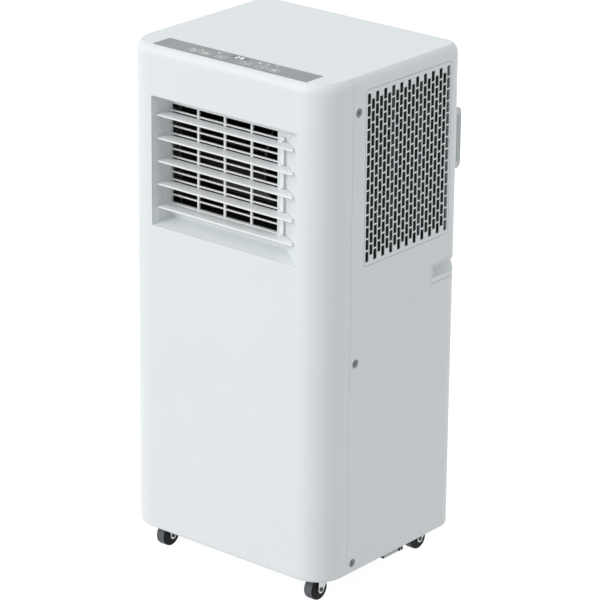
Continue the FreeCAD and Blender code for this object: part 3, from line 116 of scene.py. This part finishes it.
class Finish:
    """A material's node tree: a Principled shader, to which layers of detail are wired."""

    def __init__(self, name, colour, roughness, metallic=0.0, specular=0.5):
        self.material = bpy.data.materials.new(name)
        self.material.use_nodes = True
        self.tree = self.material.node_tree
        self.tree.nodes.clear()
        self.shader = self.add("ShaderNodeBsdfPrincipled")
        output = self.add("ShaderNodeOutputMaterial")
        self.wire(self.shader.outputs["BSDF"], output.inputs["Surface"])
        self.set("Base Color", colour)
        self.set("Roughness", roughness)
        self.set("Metallic", metallic)
        self.set("Specular IOR Level", specular)
        self.colour = None
        self.plain_colour = colour
        self.roughness = roughness
        self.place = self.add("ShaderNodeTexCoord").outputs["Object"]

    def add(self, kind, inputs=None, **settings):
        item = self.tree.nodes.new(kind)
        for name, value in settings.items():
            setattr(item, name, value)
        for name, value in (inputs or {}).items():
            item.inputs[name].default_value = value
        return item

    def wire(self, output, socket):
        self.tree.links.new(output, socket)

    def set(self, socket, value):
        self.shader.inputs[socket].default_value = value

    def noise(self, scale, detail=2.0, stretch=None):
        """Noise over the object, per metre; stretch squeezes it along an axis."""
        item = self.add("ShaderNodeTexNoise", {"Scale": scale, "Detail": detail})
        place = self.place
        if stretch:
            mapping = self.add("ShaderNodeMapping", {"Scale": stretch})
            self.wire(place, mapping.inputs["Vector"])
            place = mapping.outputs["Vector"]
        self.wire(place, item.inputs["Vector"])
        return item.outputs["Fac"]

    def ranged(self, value, low, high, to_low, to_high):
        item = self.add("ShaderNodeMapRange", {"From Min": low, "From Max": high,
                                               "To Min": to_low, "To Max": to_high})
        self.wire(value, item.inputs["Value"])
        return item.outputs["Result"]

    def math(self, operation, first, second):
        item = self.add("ShaderNodeMath", operation=operation)
        for socket, value in zip(item.inputs, (first, second)):
            if isinstance(value, (int, float)):
                socket.default_value = value
            else:
                self.wire(value, socket)
        return item.outputs["Value"]

    def tint(self, mask, colour):
        """Lay a colour over what is there, where the mask is high."""
        mix = self.add("ShaderNodeMix", data_type="RGBA")
        # the mix node numbers its sockets over all data types: 6 and 7 in and 2 out are the colours
        factor, first, second = mix.inputs[0], mix.inputs[6], mix.inputs[7]
        self.wire(mask, factor)
        if self.colour is None:
            first.default_value = self.plain_colour
        else:
            self.wire(self.colour, first)
        second.default_value = colour
        self.colour = mix.outputs[2]
        self.wire(self.colour, self.shader.inputs["Base Color"])

    def mottle(self, scale, amount, detail=3.0, stretch=None):
        """Faint uneven colour, as real mouldings and metals have."""
        cloud = self.ranged(self.noise(scale, detail, stretch), CLOUD_LOW, CLOUD_HIGH, 0.0, 1.0)
        self.tint(cloud, scaled(self.plain_colour, 1 - amount))

    def uneven(self, scale, spread, stretch=None):
        """Roughness that wanders about its middle value."""
        smoothest = max(LEAST_ROUGHNESS, self.roughness - spread)
        roughest = min(1.0, self.roughness + spread)
        cloud = self.ranged(self.noise(scale, 3.0, stretch), CLOUD_LOW, CLOUD_HIGH, smoothest, roughest)
        self.wire(cloud, self.shader.inputs["Roughness"])

    def edge_mask(self, radius):
        """High along the outer edges, where handling polishes and scuffs."""
        bevel = self.add("ShaderNodeBevel", {"Radius": radius}, samples=BEVEL_SAMPLES)
        plain = self.add("ShaderNodeNewGeometry")
        turn = self.add("ShaderNodeVectorMath", operation="DOT_PRODUCT")
        self.wire(bevel.outputs["Normal"], turn.inputs[0])
        self.wire(plain.outputs["Normal"], turn.inputs[1])
        return self.ranged(turn.outputs["Value"], EDGE_STARTS, EDGE_FULL, 0.0, 1.0)

    def wear(self, radius, colour, strength):
        """Patchy second colour along the outer edges, over the given radius."""
        patchy = self.ranged(self.noise(scale=120, detail=4.0), low=0.35, high=0.7, to_low=0.2, to_high=1.0)
        mask = self.math("MULTIPLY", self.edge_mask(radius), patchy)
        self.tint(self.math("MULTIPLY", mask, strength), colour)

    def bump(self, height, depth, rounding=0.0):
        """Relief of the given depth; rounding softens hard edges by that radius."""
        item = self.add("ShaderNodeBump", {"Strength": 1.0, "Distance": depth})
        self.wire(height, item.inputs["Height"])
        if rounding:
            bevel = self.add("ShaderNodeBevel", {"Radius": rounding}, samples=BEVEL_SAMPLES)
            self.wire(bevel.outputs["Normal"], item.inputs["Normal"])
        self.wire(item.outputs["Normal"], self.shader.inputs["Normal"])


def plastic(name, colour, roughness=0.42, grain=1400, mottle=0.03, specular=0.5):
    """Moulded plastic: fine spark-eroded grain, faint flow marks, edges polished by handling."""
    finish = Finish(name, colour, roughness, specular=specular)
    finish.mottle(scale=7, amount=mottle)
    finish.mottle(scale=60, amount=mottle / 2)
    dark = sum(colour[:3]) < 1
    finish.wear(0.6 * MM, scaled(colour, 1.25 if dark else 1.06), strength=0.35)
    finish.uneven(scale=18, spread=0.05)
    finish.bump(finish.noise(grain, detail=2.0), depth=0.012 * MM, rounding=0.35 * MM)
    return finish


def metal(name, colour, roughness, stretch):
    """Metal with drawn or pressed marks along one direction."""
    finish = Finish(name, colour, roughness, metallic=1.0)
    finish.mottle(scale=90, amount=0.12, detail=4.0, stretch=stretch)
    finish.wear(0.3 * MM, scaled(colour, 1.2), strength=0.4)
    finish.uneven(scale=120, spread=0.09, stretch=stretch)
    finish.bump(finish.noise(500, detail=3.0, stretch=stretch), depth=0.006 * MM, rounding=0.15 * MM)
    return finish


def rubber(name, colour, dusty=0.5):
    """Dull rubber, paler where it is rubbed."""
    finish = Finish(name, colour, roughness=0.82, specular=0.3)
    finish.mottle(scale=45, amount=0.18)
    finish.wear(0.5 * MM, scaled(colour, 1.7), strength=dusty)
    finish.uneven(scale=60, spread=0.08)
    finish.bump(finish.noise(2600, detail=3.0), depth=0.02 * MM, rounding=0.3 * MM)
    return finish


def painted(name, colour):
    """Dipped enamel on steel, with a slight orange-peel."""
    finish = Finish(name, colour, roughness=0.34)
    finish.mottle(scale=25, amount=0.2)
    finish.wear(0.3 * MM, STEEL, strength=0.2)
    finish.uneven(scale=30, spread=0.08)
    finish.bump(finish.noise(320, detail=1.0), depth=0.03 * MM, rounding=0.3 * MM)
    return finish


def banded(finish, direction, pitch):
    """Evenly spaced threads or fins across the given axis."""
    # at scale 1 the wave node repeats 20 times in 2 pi units
    scale = 1 / (20 * pitch) * 2 * math.pi
    wave = finish.add("ShaderNodeTexWave", {"Scale": scale}, bands_direction=direction)
    finish.wire(finish.place, wave.inputs["Vector"])
    return wave.outputs["Fac"]


def woven(name, colour, pitch):
    """Fine net: threads both ways, dark in the meshes."""
    finish = Finish(name, colour, roughness=0.7, specular=0.25)
    threads = finish.math("MAXIMUM", banded(finish, "Y", pitch), banded(finish, "Z", pitch))
    finish.mottle(scale=30, amount=0.25)
    finish.tint(finish.ranged(threads, low=0.45, high=0.8, to_low=0.0, to_high=0.8), scaled(colour, 2.2))
    finish.uneven(scale=80, spread=0.1)
    finish.bump(threads, depth=0.15 * MM)
    return finish


def finned(name, colour, pitch):
    """Bright thin fins, with painted shade in the gaps between them."""
    finish = Finish(name, colour, roughness=0.36, metallic=0.9)
    fins = banded(finish, "X", pitch)
    finish.mottle(scale=40, amount=0.2)
    # painted shade: the gaps between the fins are darkened to a quarter of the metal's colour
    finish.tint(finish.ranged(fins, low=0.5, high=0.2, to_low=0.0, to_high=0.7), scaled(colour, 0.25))
    finish.uneven(scale=50, spread=0.1)
    finish.bump(fins, depth=0.3 * MM)
    return finish


def film(name, colour):
    """Printed film over the touch keys: flat, with a fine sparkle."""
    finish = Finish(name, colour, roughness=0.36)
    finish.mottle(scale=9, amount=0.03)
    sparkle = finish.ranged(finish.noise(5200, detail=1.0), low=0.62, high=0.72, to_low=0.0, to_high=0.25)
    finish.tint(sparkle, scaled(colour, 1.35))
    finish.wear(0.3 * MM, scaled(colour, 1.3), strength=0.4)
    finish.uneven(scale=24, spread=0.05)
    finish.bump(finish.noise(3000, detail=2.0), depth=0.004 * MM, rounding=0.1 * MM)
    return finish


def lamp(name, colour, glow):
    """Lens of a small indicator lamp."""
    finish = Finish(name, colour, roughness=0.25)
    finish.set("Emission Color", colour)
    finish.set("Emission Strength", glow)
    finish.set("Coat Weight", 0.4)
    finish.mottle(scale=900, amount=0.12)
    finish.uneven(scale=500, spread=0.06)
    finish.bump(finish.noise(2500, detail=1.0), depth=0.01 * MM)
    return finish


def smoked_window(name, colour):
    """Dark glossy cover of the display."""
    finish = Finish(name, colour, roughness=0.12)
    finish.set("Coat Weight", 0.6)
    finish.mottle(scale=220, amount=0.3)
    finish.uneven(scale=160, spread=0.05)
    finish.bump(finish.noise(1200, detail=2.0), depth=0.002 * MM)
    return finish


FINISHES = {
    "shell": plastic("shell_white", WHITE),
    # painted light: the louvres, their link and the guard get the brightened white
    "louvre": plastic("louvre_white_lit", LIT_BLADE_WHITE, roughness=0.38, mottle=0.02),
    "strip": film("strip_film", STRIP_GREY),
    "tray": plastic("tray_grey", TRAY_GREY, roughness=0.6),
    "cleat": plastic("cleat_grey", CLEAT_GREY, roughness=0.5),
    "spout": plastic("spout_grey", SPOUT_GREY, roughness=0.5),
    "plug": rubber("plug_rubber", RUBBER_BLACK),
    "screw": metal("screw_zinc", SCREW_ZINC, roughness=0.34, stretch=(1, 1, 1)),
    "filter": woven("filter_net", NET_BLACK, pitch=0.9 * MM),
    "inner_plastic": plastic("inner_black", BLACK_PLASTIC, roughness=0.55),
    "fan": plastic("fan_black", BLACK_PLASTIC, roughness=0.5),
    "motor": painted("motor_black", PAINT_BLACK),
    "shaft": metal("shaft_steel", STEEL, roughness=0.22, stretch=(30, 1, 1)),
    "coil": finned("coil_fins", ALUMINIUM, pitch=1.8 * MM),
    "copper": metal("copper_tube", COPPER, roughness=0.3, stretch=(1, 1, 12)),
    "caster_steel": metal("caster_zinc", ZINC, roughness=0.36, stretch=(1, 1, 6)),
    "axle": painted("axle_black", PAINT_BLACK),
    "wheel": plastic("wheel_black", WHEEL_BLACK, roughness=0.34, grain=900, specular=0.12),
    "tread": rubber("tread_grey", TREAD_GREY, dusty=0.25),
}
PRINT = film("print_white", PRINT_WHITE).material
SEGMENTS = lamp("segments_white", PRINT_WHITE, glow=1.2).material
LAMPS = {"white": lamp("lamp_white", LED_WHITE, glow=0.5).material,
         "green": lamp("lamp_green", LED_GREEN, glow=0.6).material}
WINDOW = smoked_window("window_black", WINDOW_BLACK).material
RIBS = plastic("rib_grey", RIB_GREY, roughness=0.6).material


def finish_nodes():
    """Give every CAD node the finish of its material slot."""
    for part in frame["record"]["subparts"]:
        node = frame["nodes"][part["node"]]
        material = FINISHES[part["material_slot"]].material
        node.data.materials.clear()
        node.data.materials.append(material)


# ---------------------------------------------------------------- mesh helpers

def mesh_piece(name, vertices, faces, material, body):
    mesh = bpy.data.meshes.new(name)
    mesh.from_pydata([tuple(v) for v in vertices], [], faces)
    mesh.materials.append(material)
    mesh.update()
    piece = bpy.data.objects.new(name, mesh)
    bpy.context.scene.collection.objects.link(piece)
    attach(piece, body)
    return piece


def arc(x, y, radius, start, end, steps=14):
    """Points along an arc, in degrees anticlockwise from +X."""
    turns = [math.radians(start + (end - start) * i / steps) for i in range(steps + 1)]
    return [(x + radius * math.cos(t), y + radius * math.sin(t)) for t in turns]


def oval(x, y, half_width, half_height):
    steps = 32
    turns = [2 * math.pi * i / steps for i in range(steps + 1)]
    return [(x + half_width * math.cos(t), y + half_height * math.sin(t)) for t in turns]


def stroke_sides(points, width):
    """Left and right outline of a line of the given width through the points."""
    left, right = [], []
    for i, point in enumerate(points):
        before = Vector(points[max(i - 1, 0)])
        after = Vector(points[min(i + 1, len(points) - 1)])
        along = (after - before).normalized()
        across = Vector((-along.y, along.x)) * (width / 2)
        left.append(Vector(point) + across)
        right.append(Vector(point) - across)
    return left, right


def printed_strokes(name, strokes, width, low, high, material, body="root"):
    """Raised print: each stroke is a closed ribbon between two heights."""
    vertices, faces = [], []
    for points in strokes:
        left, right = stroke_sides(points, width)
        first = len(vertices)
        for a, b in zip(left, right):
            vertices += [(a.x, a.y, low), (b.x, b.y, low), (b.x, b.y, high), (a.x, a.y, high)]
        for i in range(len(points) - 1):
            ring, after = first + 4 * i, first + 4 * (i + 1)
            for side in range(4):
                across = (side + 1) % 4
                faces.append((ring + side, ring + across, after + across, after + side))
        last = first + 4 * (len(points) - 1)
        faces.append((first + 3, first + 2, first + 1, first))
        faces.append((last, last + 1, last + 2, last + 3))
    mesh_piece(name, vertices, faces, material, body)


def printed_disc(name, x, y, radius_x, radius_y, low, high, material):
    """Low oval button on the strip between two heights, its top slightly crowned."""
    steps = 20
    turns = [2 * math.pi * i / steps for i in range(steps)]
    shoulder = low + 0.6 * (high - low)
    vertices = []
    for share, z in ((1.0, low), (1.0, shoulder), (0.7, high)):
        across, along = share * radius_x, share * radius_y
        vertices += [(x + across * math.cos(t), y + along * math.sin(t), z) for t in turns]
    faces = [tuple(reversed(range(steps))), tuple(range(2 * steps, 3 * steps))]
    for ring in (0, steps):
        faces += [(ring + i, ring + (i + 1) % steps, ring + steps + (i + 1) % steps, ring + steps + i)
                  for i in range(steps)]
    mesh_piece(name, vertices, faces, material, "root")


def box_faces(first):
    corners = [(0, 3, 2, 1), (4, 5, 6, 7), (0, 1, 5, 4), (1, 2, 6, 5), (2, 3, 7, 6), (3, 0, 4, 7)]
    return [tuple(first + i for i in face) for face in corners]


def box_corners(low, high):
    x0, y0, z0 = low
    x1, y1, z1 = high
    return [(x0, y0, z0), (x1, y0, z0), (x1, y1, z0), (x0, y1, z0),
            (x0, y0, z1), (x1, y0, z1), (x1, y1, z1), (x0, y1, z1)]


def bars_piece(name, bars, material, body, rounding):
    """One piece made of straight bars, with rounded edges."""
    vertices, faces = [], []
    for low, high in bars:
        faces += box_faces(len(vertices))
        vertices += box_corners(low, high)
    piece = mesh_piece(name, vertices, faces, material, body)
    if rounding:
        bevel = piece.modifiers.new("rounding", "BEVEL")
        bevel.width = rounding
        bevel.segments = 2
    return piece


# ---------------------------------------------------------------- control strip

def power(x, y, r):
    return [arc(x, y, r, 125, 415), [(x, y + 0.1 * r), (x, y + 1.15 * r)]]


def clock(x, y, r):
    return [arc(x, y, r, 0, 360, 20), [(x, y + 0.65 * r), (x, y), (x + 0.5 * r, y)]]


def fan(x, y, r):
    return [arc(x + 0.5 * r * math.cos(math.radians(a)), y + 0.5 * r * math.sin(math.radians(a)),
                0.5 * r, a - 180, a + 10) for a in (90, 210, 330)]


def arrow(x, y, r, up):
    rise = r if up else -r
    return [[(x - r, y - 0.4 * rise), (x, y + 0.6 * rise), (x + r, y - 0.4 * rise)]]


def modes(x, y, r):
    return [arc(x - 0.5 * r, y, 0.55 * r, 0, 360, 16), [(x + 0.35 * r, y - r), (x + 0.35 * r, y + r)],
            [(x + 0.8 * r, y - 0.7 * r), (x + 0.8 * r, y + 0.7 * r)]]


def digit_strokes(x, y, width, height, lit):
    """Seven-segment figure; lit names its segments from a to g."""
    right, top, middle = x + width, y + height, y + height / 2
    ends = {"a": ((x, top), (right, top)), "b": ((right, top), (right, middle)),
            "c": ((right, middle), (right, y)), "d": ((x, y), (right, y)),
            "e": ((x, y), (x, middle)), "f": ((x, middle), (x, top)), "g": ((x, middle), (right, middle))}
    strokes = []
    for letter in lit:
        start, end = Vector(ends[letter][0]), Vector(ends[letter][1])
        trim = (end - start).normalized() * (0.12 * width)
        strokes.append([tuple(start + trim), tuple(end - trim)])
    return strokes


def make_controls():
    """Key symbols, indicator lamps and display printed and set in the strip."""
    low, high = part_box("control_strip")
    middle = (low.x + high.x) / 2
    width = high.y - low.y
    key_line = low.y + 0.36 * width
    lamp_line = low.y + 0.74 * width
    surface = high.z
    print_depth = 0.30 * MM
    print_rise = 0.04 * MM
    bottom, top = surface - print_depth, surface + print_rise
    make_keys(middle, key_line, bottom, top)

    # each lamp's place in mm from the middle, its share of the strip's width, and its colour
    lamp_radii = (2.8 * MM, 1.6 * MM)
    lamps = [(-68.7, 0.50, "white"), (-57.1, 0.56, "green"), (-45.8, 0.38, "green"), (-34.9, 0.74, "white"),
             (30.1, 0.74, "white"), (43.0, 0.74, "green"), (53.6, 0.88, "green")]
    for i, (place, share, colour) in enumerate(lamps):
        printed_disc("lamp_%d" % i, middle + place * MM, low.y + share * width, *lamp_radii, bottom, top,
                     LAMPS[colour])
    make_display(middle, lamp_line, surface, bottom, top)


def make_keys(middle, key_line, bottom, top):
    """Six key symbols, each in its ring, placed in mm from the middle of the strip."""
    symbol = 3.1 * MM
    line = 1.1 * MM
    ring_radii = (8.0 * MM, 5.2 * MM)
    ring_line = 0.6 * MM
    keys = {"power": (-66, power), "timer": (-47, clock), "fan": (-22, fan),
            "down": (17.4, lambda x, y, r: arrow(x, y, r, False)),
            "up": (42.5, lambda x, y, r: arrow(x, y, r, True)), "mode": (62.7, modes)}
    for name, (place, draw) in keys.items():
        x = middle + place * MM
        printed_strokes("key_" + name, draw(x, key_line, symbol), line, bottom, top, PRINT)
        ring = oval(x, key_line, *ring_radii)
        printed_strokes("key_ring_" + name, [ring], ring_line, bottom, top, PRINT)


def make_display(middle, lamp_line, surface, bottom, top):
    """Smoked window with two seven-segment figures, which read 25."""
    window_low = (middle - 14.5 * MM, lamp_line - 4.2 * MM)
    window_high = (middle + 11.5 * MM, lamp_line + 4.2 * MM)
    window_rise = 0.02 * MM
    window = ((*window_low, bottom), (*window_high, surface + window_rise))
    bars_piece("display_window", [window], WINDOW, "root", 0.01 * MM)
    figure_size = (4.0 * MM, 5.6 * MM)
    figure_line = 1.1 * MM
    first_x = window_low[0] + 7.0 * MM
    figure_step = 7.2 * MM
    y = window_low[1] + 1.4 * MM
    for i, lit in enumerate(("abdeg", "acdfg")):
        x = first_x + i * figure_step
        printed_strokes("display_digit_%d" % i, digit_strokes(x, y, *figure_size, lit), figure_line,
                        surface, top, SEGMENTS)


# ---------------------------------------------------------------- painted shadow in the gaps under the grips

def make_grip_gap_shadows():
    """Dark strip in the gap under each side grip: painted shadow of the gap. It follows the casing round
    its rear corner.
    """
    corner = 24 * MM
    corner_turn = 70
    width = 1.0 * MM
    height = 0.4 * MM
    clearance = 0.03 * MM
    depth = clearance + width / 2
    casing_low, casing_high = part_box("rear_cover")
    for side, turn in (("right", 1), ("left", -1)):
        low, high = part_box("grip_insert_" + side)
        path = [(casing_high.x - depth, low.y)]
        path += arc(casing_high.x - corner, casing_high.y - corner, corner - depth, 0, corner_turn)
        path = [(turn * x, y) for x, y in path]
        # painted shadow: a dark rubber-coloured strip laid in the gap under the grip
        printed_strokes("grip_gap_shadow_" + side, [path], width, low.z - height, low.z,
                        FINISHES["plug"].material, "root")


# ---------------------------------------------------------------- filter behind the side grille

def make_filter():
    """Frame and ribs of the intake filter, with its net, in place of the plain panel."""
    low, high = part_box("air_filter")
    rim = 3.0 * MM
    rib = 1.6 * MM
    rib_recess = 0.4 * MM
    post_recess = 0.5 * MM
    bars = [((low.x, low.y, low.z), (high.x, low.y + rim, high.z)),
            ((low.x, high.y - rim, low.z), (high.x, high.y, high.z)),
            ((low.x, low.y + rim, low.z), (high.x, high.y - rim, low.z + rim)),
            ((low.x, low.y + rim, high.z - rim), (high.x, high.y - rim, high.z))]
    inner_z = high.z - low.z - 2 * rim
    for share in (0.24, 0.5, 0.76):
        z = low.z + rim + share * inner_z
        bars.append(((low.x + rib_recess, low.y + rim, z - rib / 2),
                     (high.x - rib_recess, high.y - rim, z + rib / 2)))
    for share in (0.33, 0.67):
        y = low.y + share * (high.y - low.y)
        bars.append(((low.x + post_recess, y - rib / 2, low.z + rim),
                     (high.x - post_recess, y + rib / 2, high.z - rim)))
    ribs = bars_piece("filter_ribs", bars, RIBS, "grille", 0.2 * MM)
    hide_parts("air_filter")

    middle = (low.x + high.x) / 2
    edge = 1.0 * MM
    folds = 56
    fold_height = 0.2 * MM
    net_thickness = 0.3 * MM
    step = (high.y - low.y - 2 * edge) / folds
    net = [(middle + fold_height * (-1) ** i, low.y + edge + i * step) for i in range(folds + 1)]
    printed_strokes("filter_mesh", [net], net_thickness, low.z + edge, high.z - edge,
                    FINISHES["filter"].material, "grille")


# ---------------------------------------------------------------- drain and heat exchanger

def make_spout_end_shade():
    """Dark plate with a raised middle on the end of the drain spout away from the plug: painted shade,
    standing in for the shadowed end of the spout.
    """
    low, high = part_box("drain_spout")
    seat = 0.5 * MM
    steps = []
    for inset, reach in ((0.6 * MM, 0.5 * MM), (2.4 * MM, 1.1 * MM)):
        steps.append(((low.x + inset, low.y - reach, low.z + inset),
                      (high.x - inset, low.y + seat, high.z - inset)))
    # painted shade: dark tray plastic laid over the end of the spout
    bars_piece("drain_spout_end_shade", steps, FINISHES["tray"].material, "root", 0.3 * MM)


def make_plug_band():
    """Light band set in the waist of the drain plug."""
    low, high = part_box("drain_plug")
    inset = 0.35 * MM
    band = (high.y - 5.2 * MM, high.y - 3.2 * MM)
    bar = ((low.x + inset, band[0], low.z + inset), (high.x - inset, band[1], high.z - inset))
    bars_piece("drain_plug_band", [bar], FINISHES["spout"].material, "drain_plug", 0.25 * MM)


def make_fins():
    """Upright fins standing proud of the condenser's face, seen through the rear grille."""
    low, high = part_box("condenser_coil")
    pitch = 2.2 * MM
    thickness = 0.16 * MM
    reach = 1.6 * MM
    margin = 12 * MM
    end_gap = 3 * MM
    count = int((high.x - low.x - 2 * margin) / pitch)
    bars = []
    for i in range(count):
        x = low.x + margin + i * pitch
        bars.append(((x, high.y - 2 * reach, low.z + end_gap),
                     (x + thickness, high.y + 0.5 * reach, high.z - end_gap)))
    bars_piece("condenser_fins", bars, FINISHES["coil"].material, "root", 0)


# ---------------------------------------------------------------- studio

CAMERA_AZIMUTH = math.radians(39.61)
CAMERA_ELEVATION = math.radians(20.70)
CAMERA_ROLL = math.radians(0.55)
CAMERA_DISTANCE = 4.2815
CAMERA_SIDESTEP = 0.00936
CAMERA_LENS = 202.45
CAMERA_SENSOR = 36
CAMERA_REACH = 400


def make_camera():
    casing_middle = (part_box("front_panel")[0].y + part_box("rear_cover")[1].y) / 2
    target = Vector((0, casing_middle, (cad_low.z + cad_high.z) / 2))
    back = Vector((math.sin(CAMERA_AZIMUTH) * math.cos(CAMERA_ELEVATION),
                   -math.cos(CAMERA_AZIMUTH) * math.cos(CAMERA_ELEVATION), math.sin(CAMERA_ELEVATION)))
    right = (-back).cross(Vector((0, 0, 1))).normalized()
    up = right.cross(-back)
    turned_right = right * math.cos(CAMERA_ROLL) + up * math.sin(CAMERA_ROLL)
    turned_up = up * math.cos(CAMERA_ROLL) - right * math.sin(CAMERA_ROLL)
    data = bpy.data.cameras.new("camera")
    data.lens = CAMERA_LENS
    data.sensor_width = CAMERA_SENSOR
    data.clip_end = CAMERA_REACH
    camera = bpy.data.objects.new("camera", data)
    bpy.context.scene.collection.objects.link(camera)
    matrix = Matrix((turned_right, turned_up, back)).transposed().to_4x4()
    matrix.translation = target + right * CAMERA_SIDESTEP + back * CAMERA_DISTANCE
    camera.matrix_world = matrix
    bpy.context.scene.camera = camera


def area_light(name, aim, place, size, power_watts):
    data = bpy.data.lights.new(name, "AREA")
    data.shape = "RECTANGLE"
    data.size, data.size_y = size
    data.energy = power_watts
    light = bpy.data.objects.new(name, data)
    bpy.context.scene.collection.objects.link(light)
    light.location = place
    light.rotation_mode = "QUATERNION"
    light.rotation_quaternion = (Vector(aim) - Vector(place)).to_track_quat("-Z", "Y")


FLOOR_GLOW = 0.92
FLOOR_HALF_SIZE = 150.0
SKY_TINT = (0.97, 0.985, 1.0, 1.0)
SKY_LIGHT = 0.67
SKY_LEAN = (-0.10, 0.0, 0.21)
# place, size and power in watts of each lamp
KEY_LAMP = ((-3.3, -6.2, 3.6), (3.6, 3.6), 205)
FILL_LAMP = ((7.2, -1.8, 2.1), (4.0, 4.0), 5)


def make_floor():
    """Lit white table. It is bright in itself, and diffuse rays pass it, so that what lights the object
    is the sky and the lamps."""
    side = FLOOR_HALF_SIZE
    mesh = bpy.data.meshes.new("floor")
    corners = [(-side, -side, 0), (side, -side, 0), (side, side, 0), (-side, side, 0)]
    mesh.from_pydata(corners, [], [(0, 1, 2, 3)])
    floor = bpy.data.objects.new("floor", mesh)
    bpy.context.scene.collection.objects.link(floor)
    floor.visible_diffuse = False
    finish = Finish("floor_white", FLOOR_WHITE, roughness=0.75, specular=0.2)
    finish.mottle(scale=3, amount=0.01)
    finish.uneven(scale=4, spread=0.05)
    finish.set("Emission Color", (1, 1, 1, 1))
    finish.set("Emission Strength", FLOOR_GLOW)
    mesh.materials.append(finish.material)


def make_sky():
    """Soft light from all round, as in a light tent: somewhat stronger from above and from the left."""
    world = bpy.data.worlds.new("studio")
    world.use_nodes = True
    tree = world.node_tree
    background = tree.nodes["Background"]
    background.inputs["Color"].default_value = SKY_TINT
    direction = tree.nodes.new("ShaderNodeTexCoord")
    lean = tree.nodes.new("ShaderNodeVectorMath")
    lean.operation = "DOT_PRODUCT"
    lean.inputs[1].default_value = SKY_LEAN
    strength = tree.nodes.new("ShaderNodeMath")
    strength.inputs[1].default_value = SKY_LIGHT
    tree.links.new(direction.outputs["Generated"], lean.inputs[0])
    tree.links.new(lean.outputs["Value"], strength.inputs[0])
    tree.links.new(strength.outputs["Value"], background.inputs["Strength"])
    bpy.context.scene.world = world


def make_studio():
    make_sky()
    middle = (0, 0, cad_high.z / 2)
    area_light("key", middle, *KEY_LAMP)
    area_light("fill", middle, *FILL_LAMP)
    make_floor()
    make_camera()
    bpy.context.scene.view_settings.view_transform = "Standard"


finish_nodes()
make_controls()
make_grip_gap_shadows()
make_filter()
make_spout_end_shade()
make_plug_band()
make_fins()
make_studio()
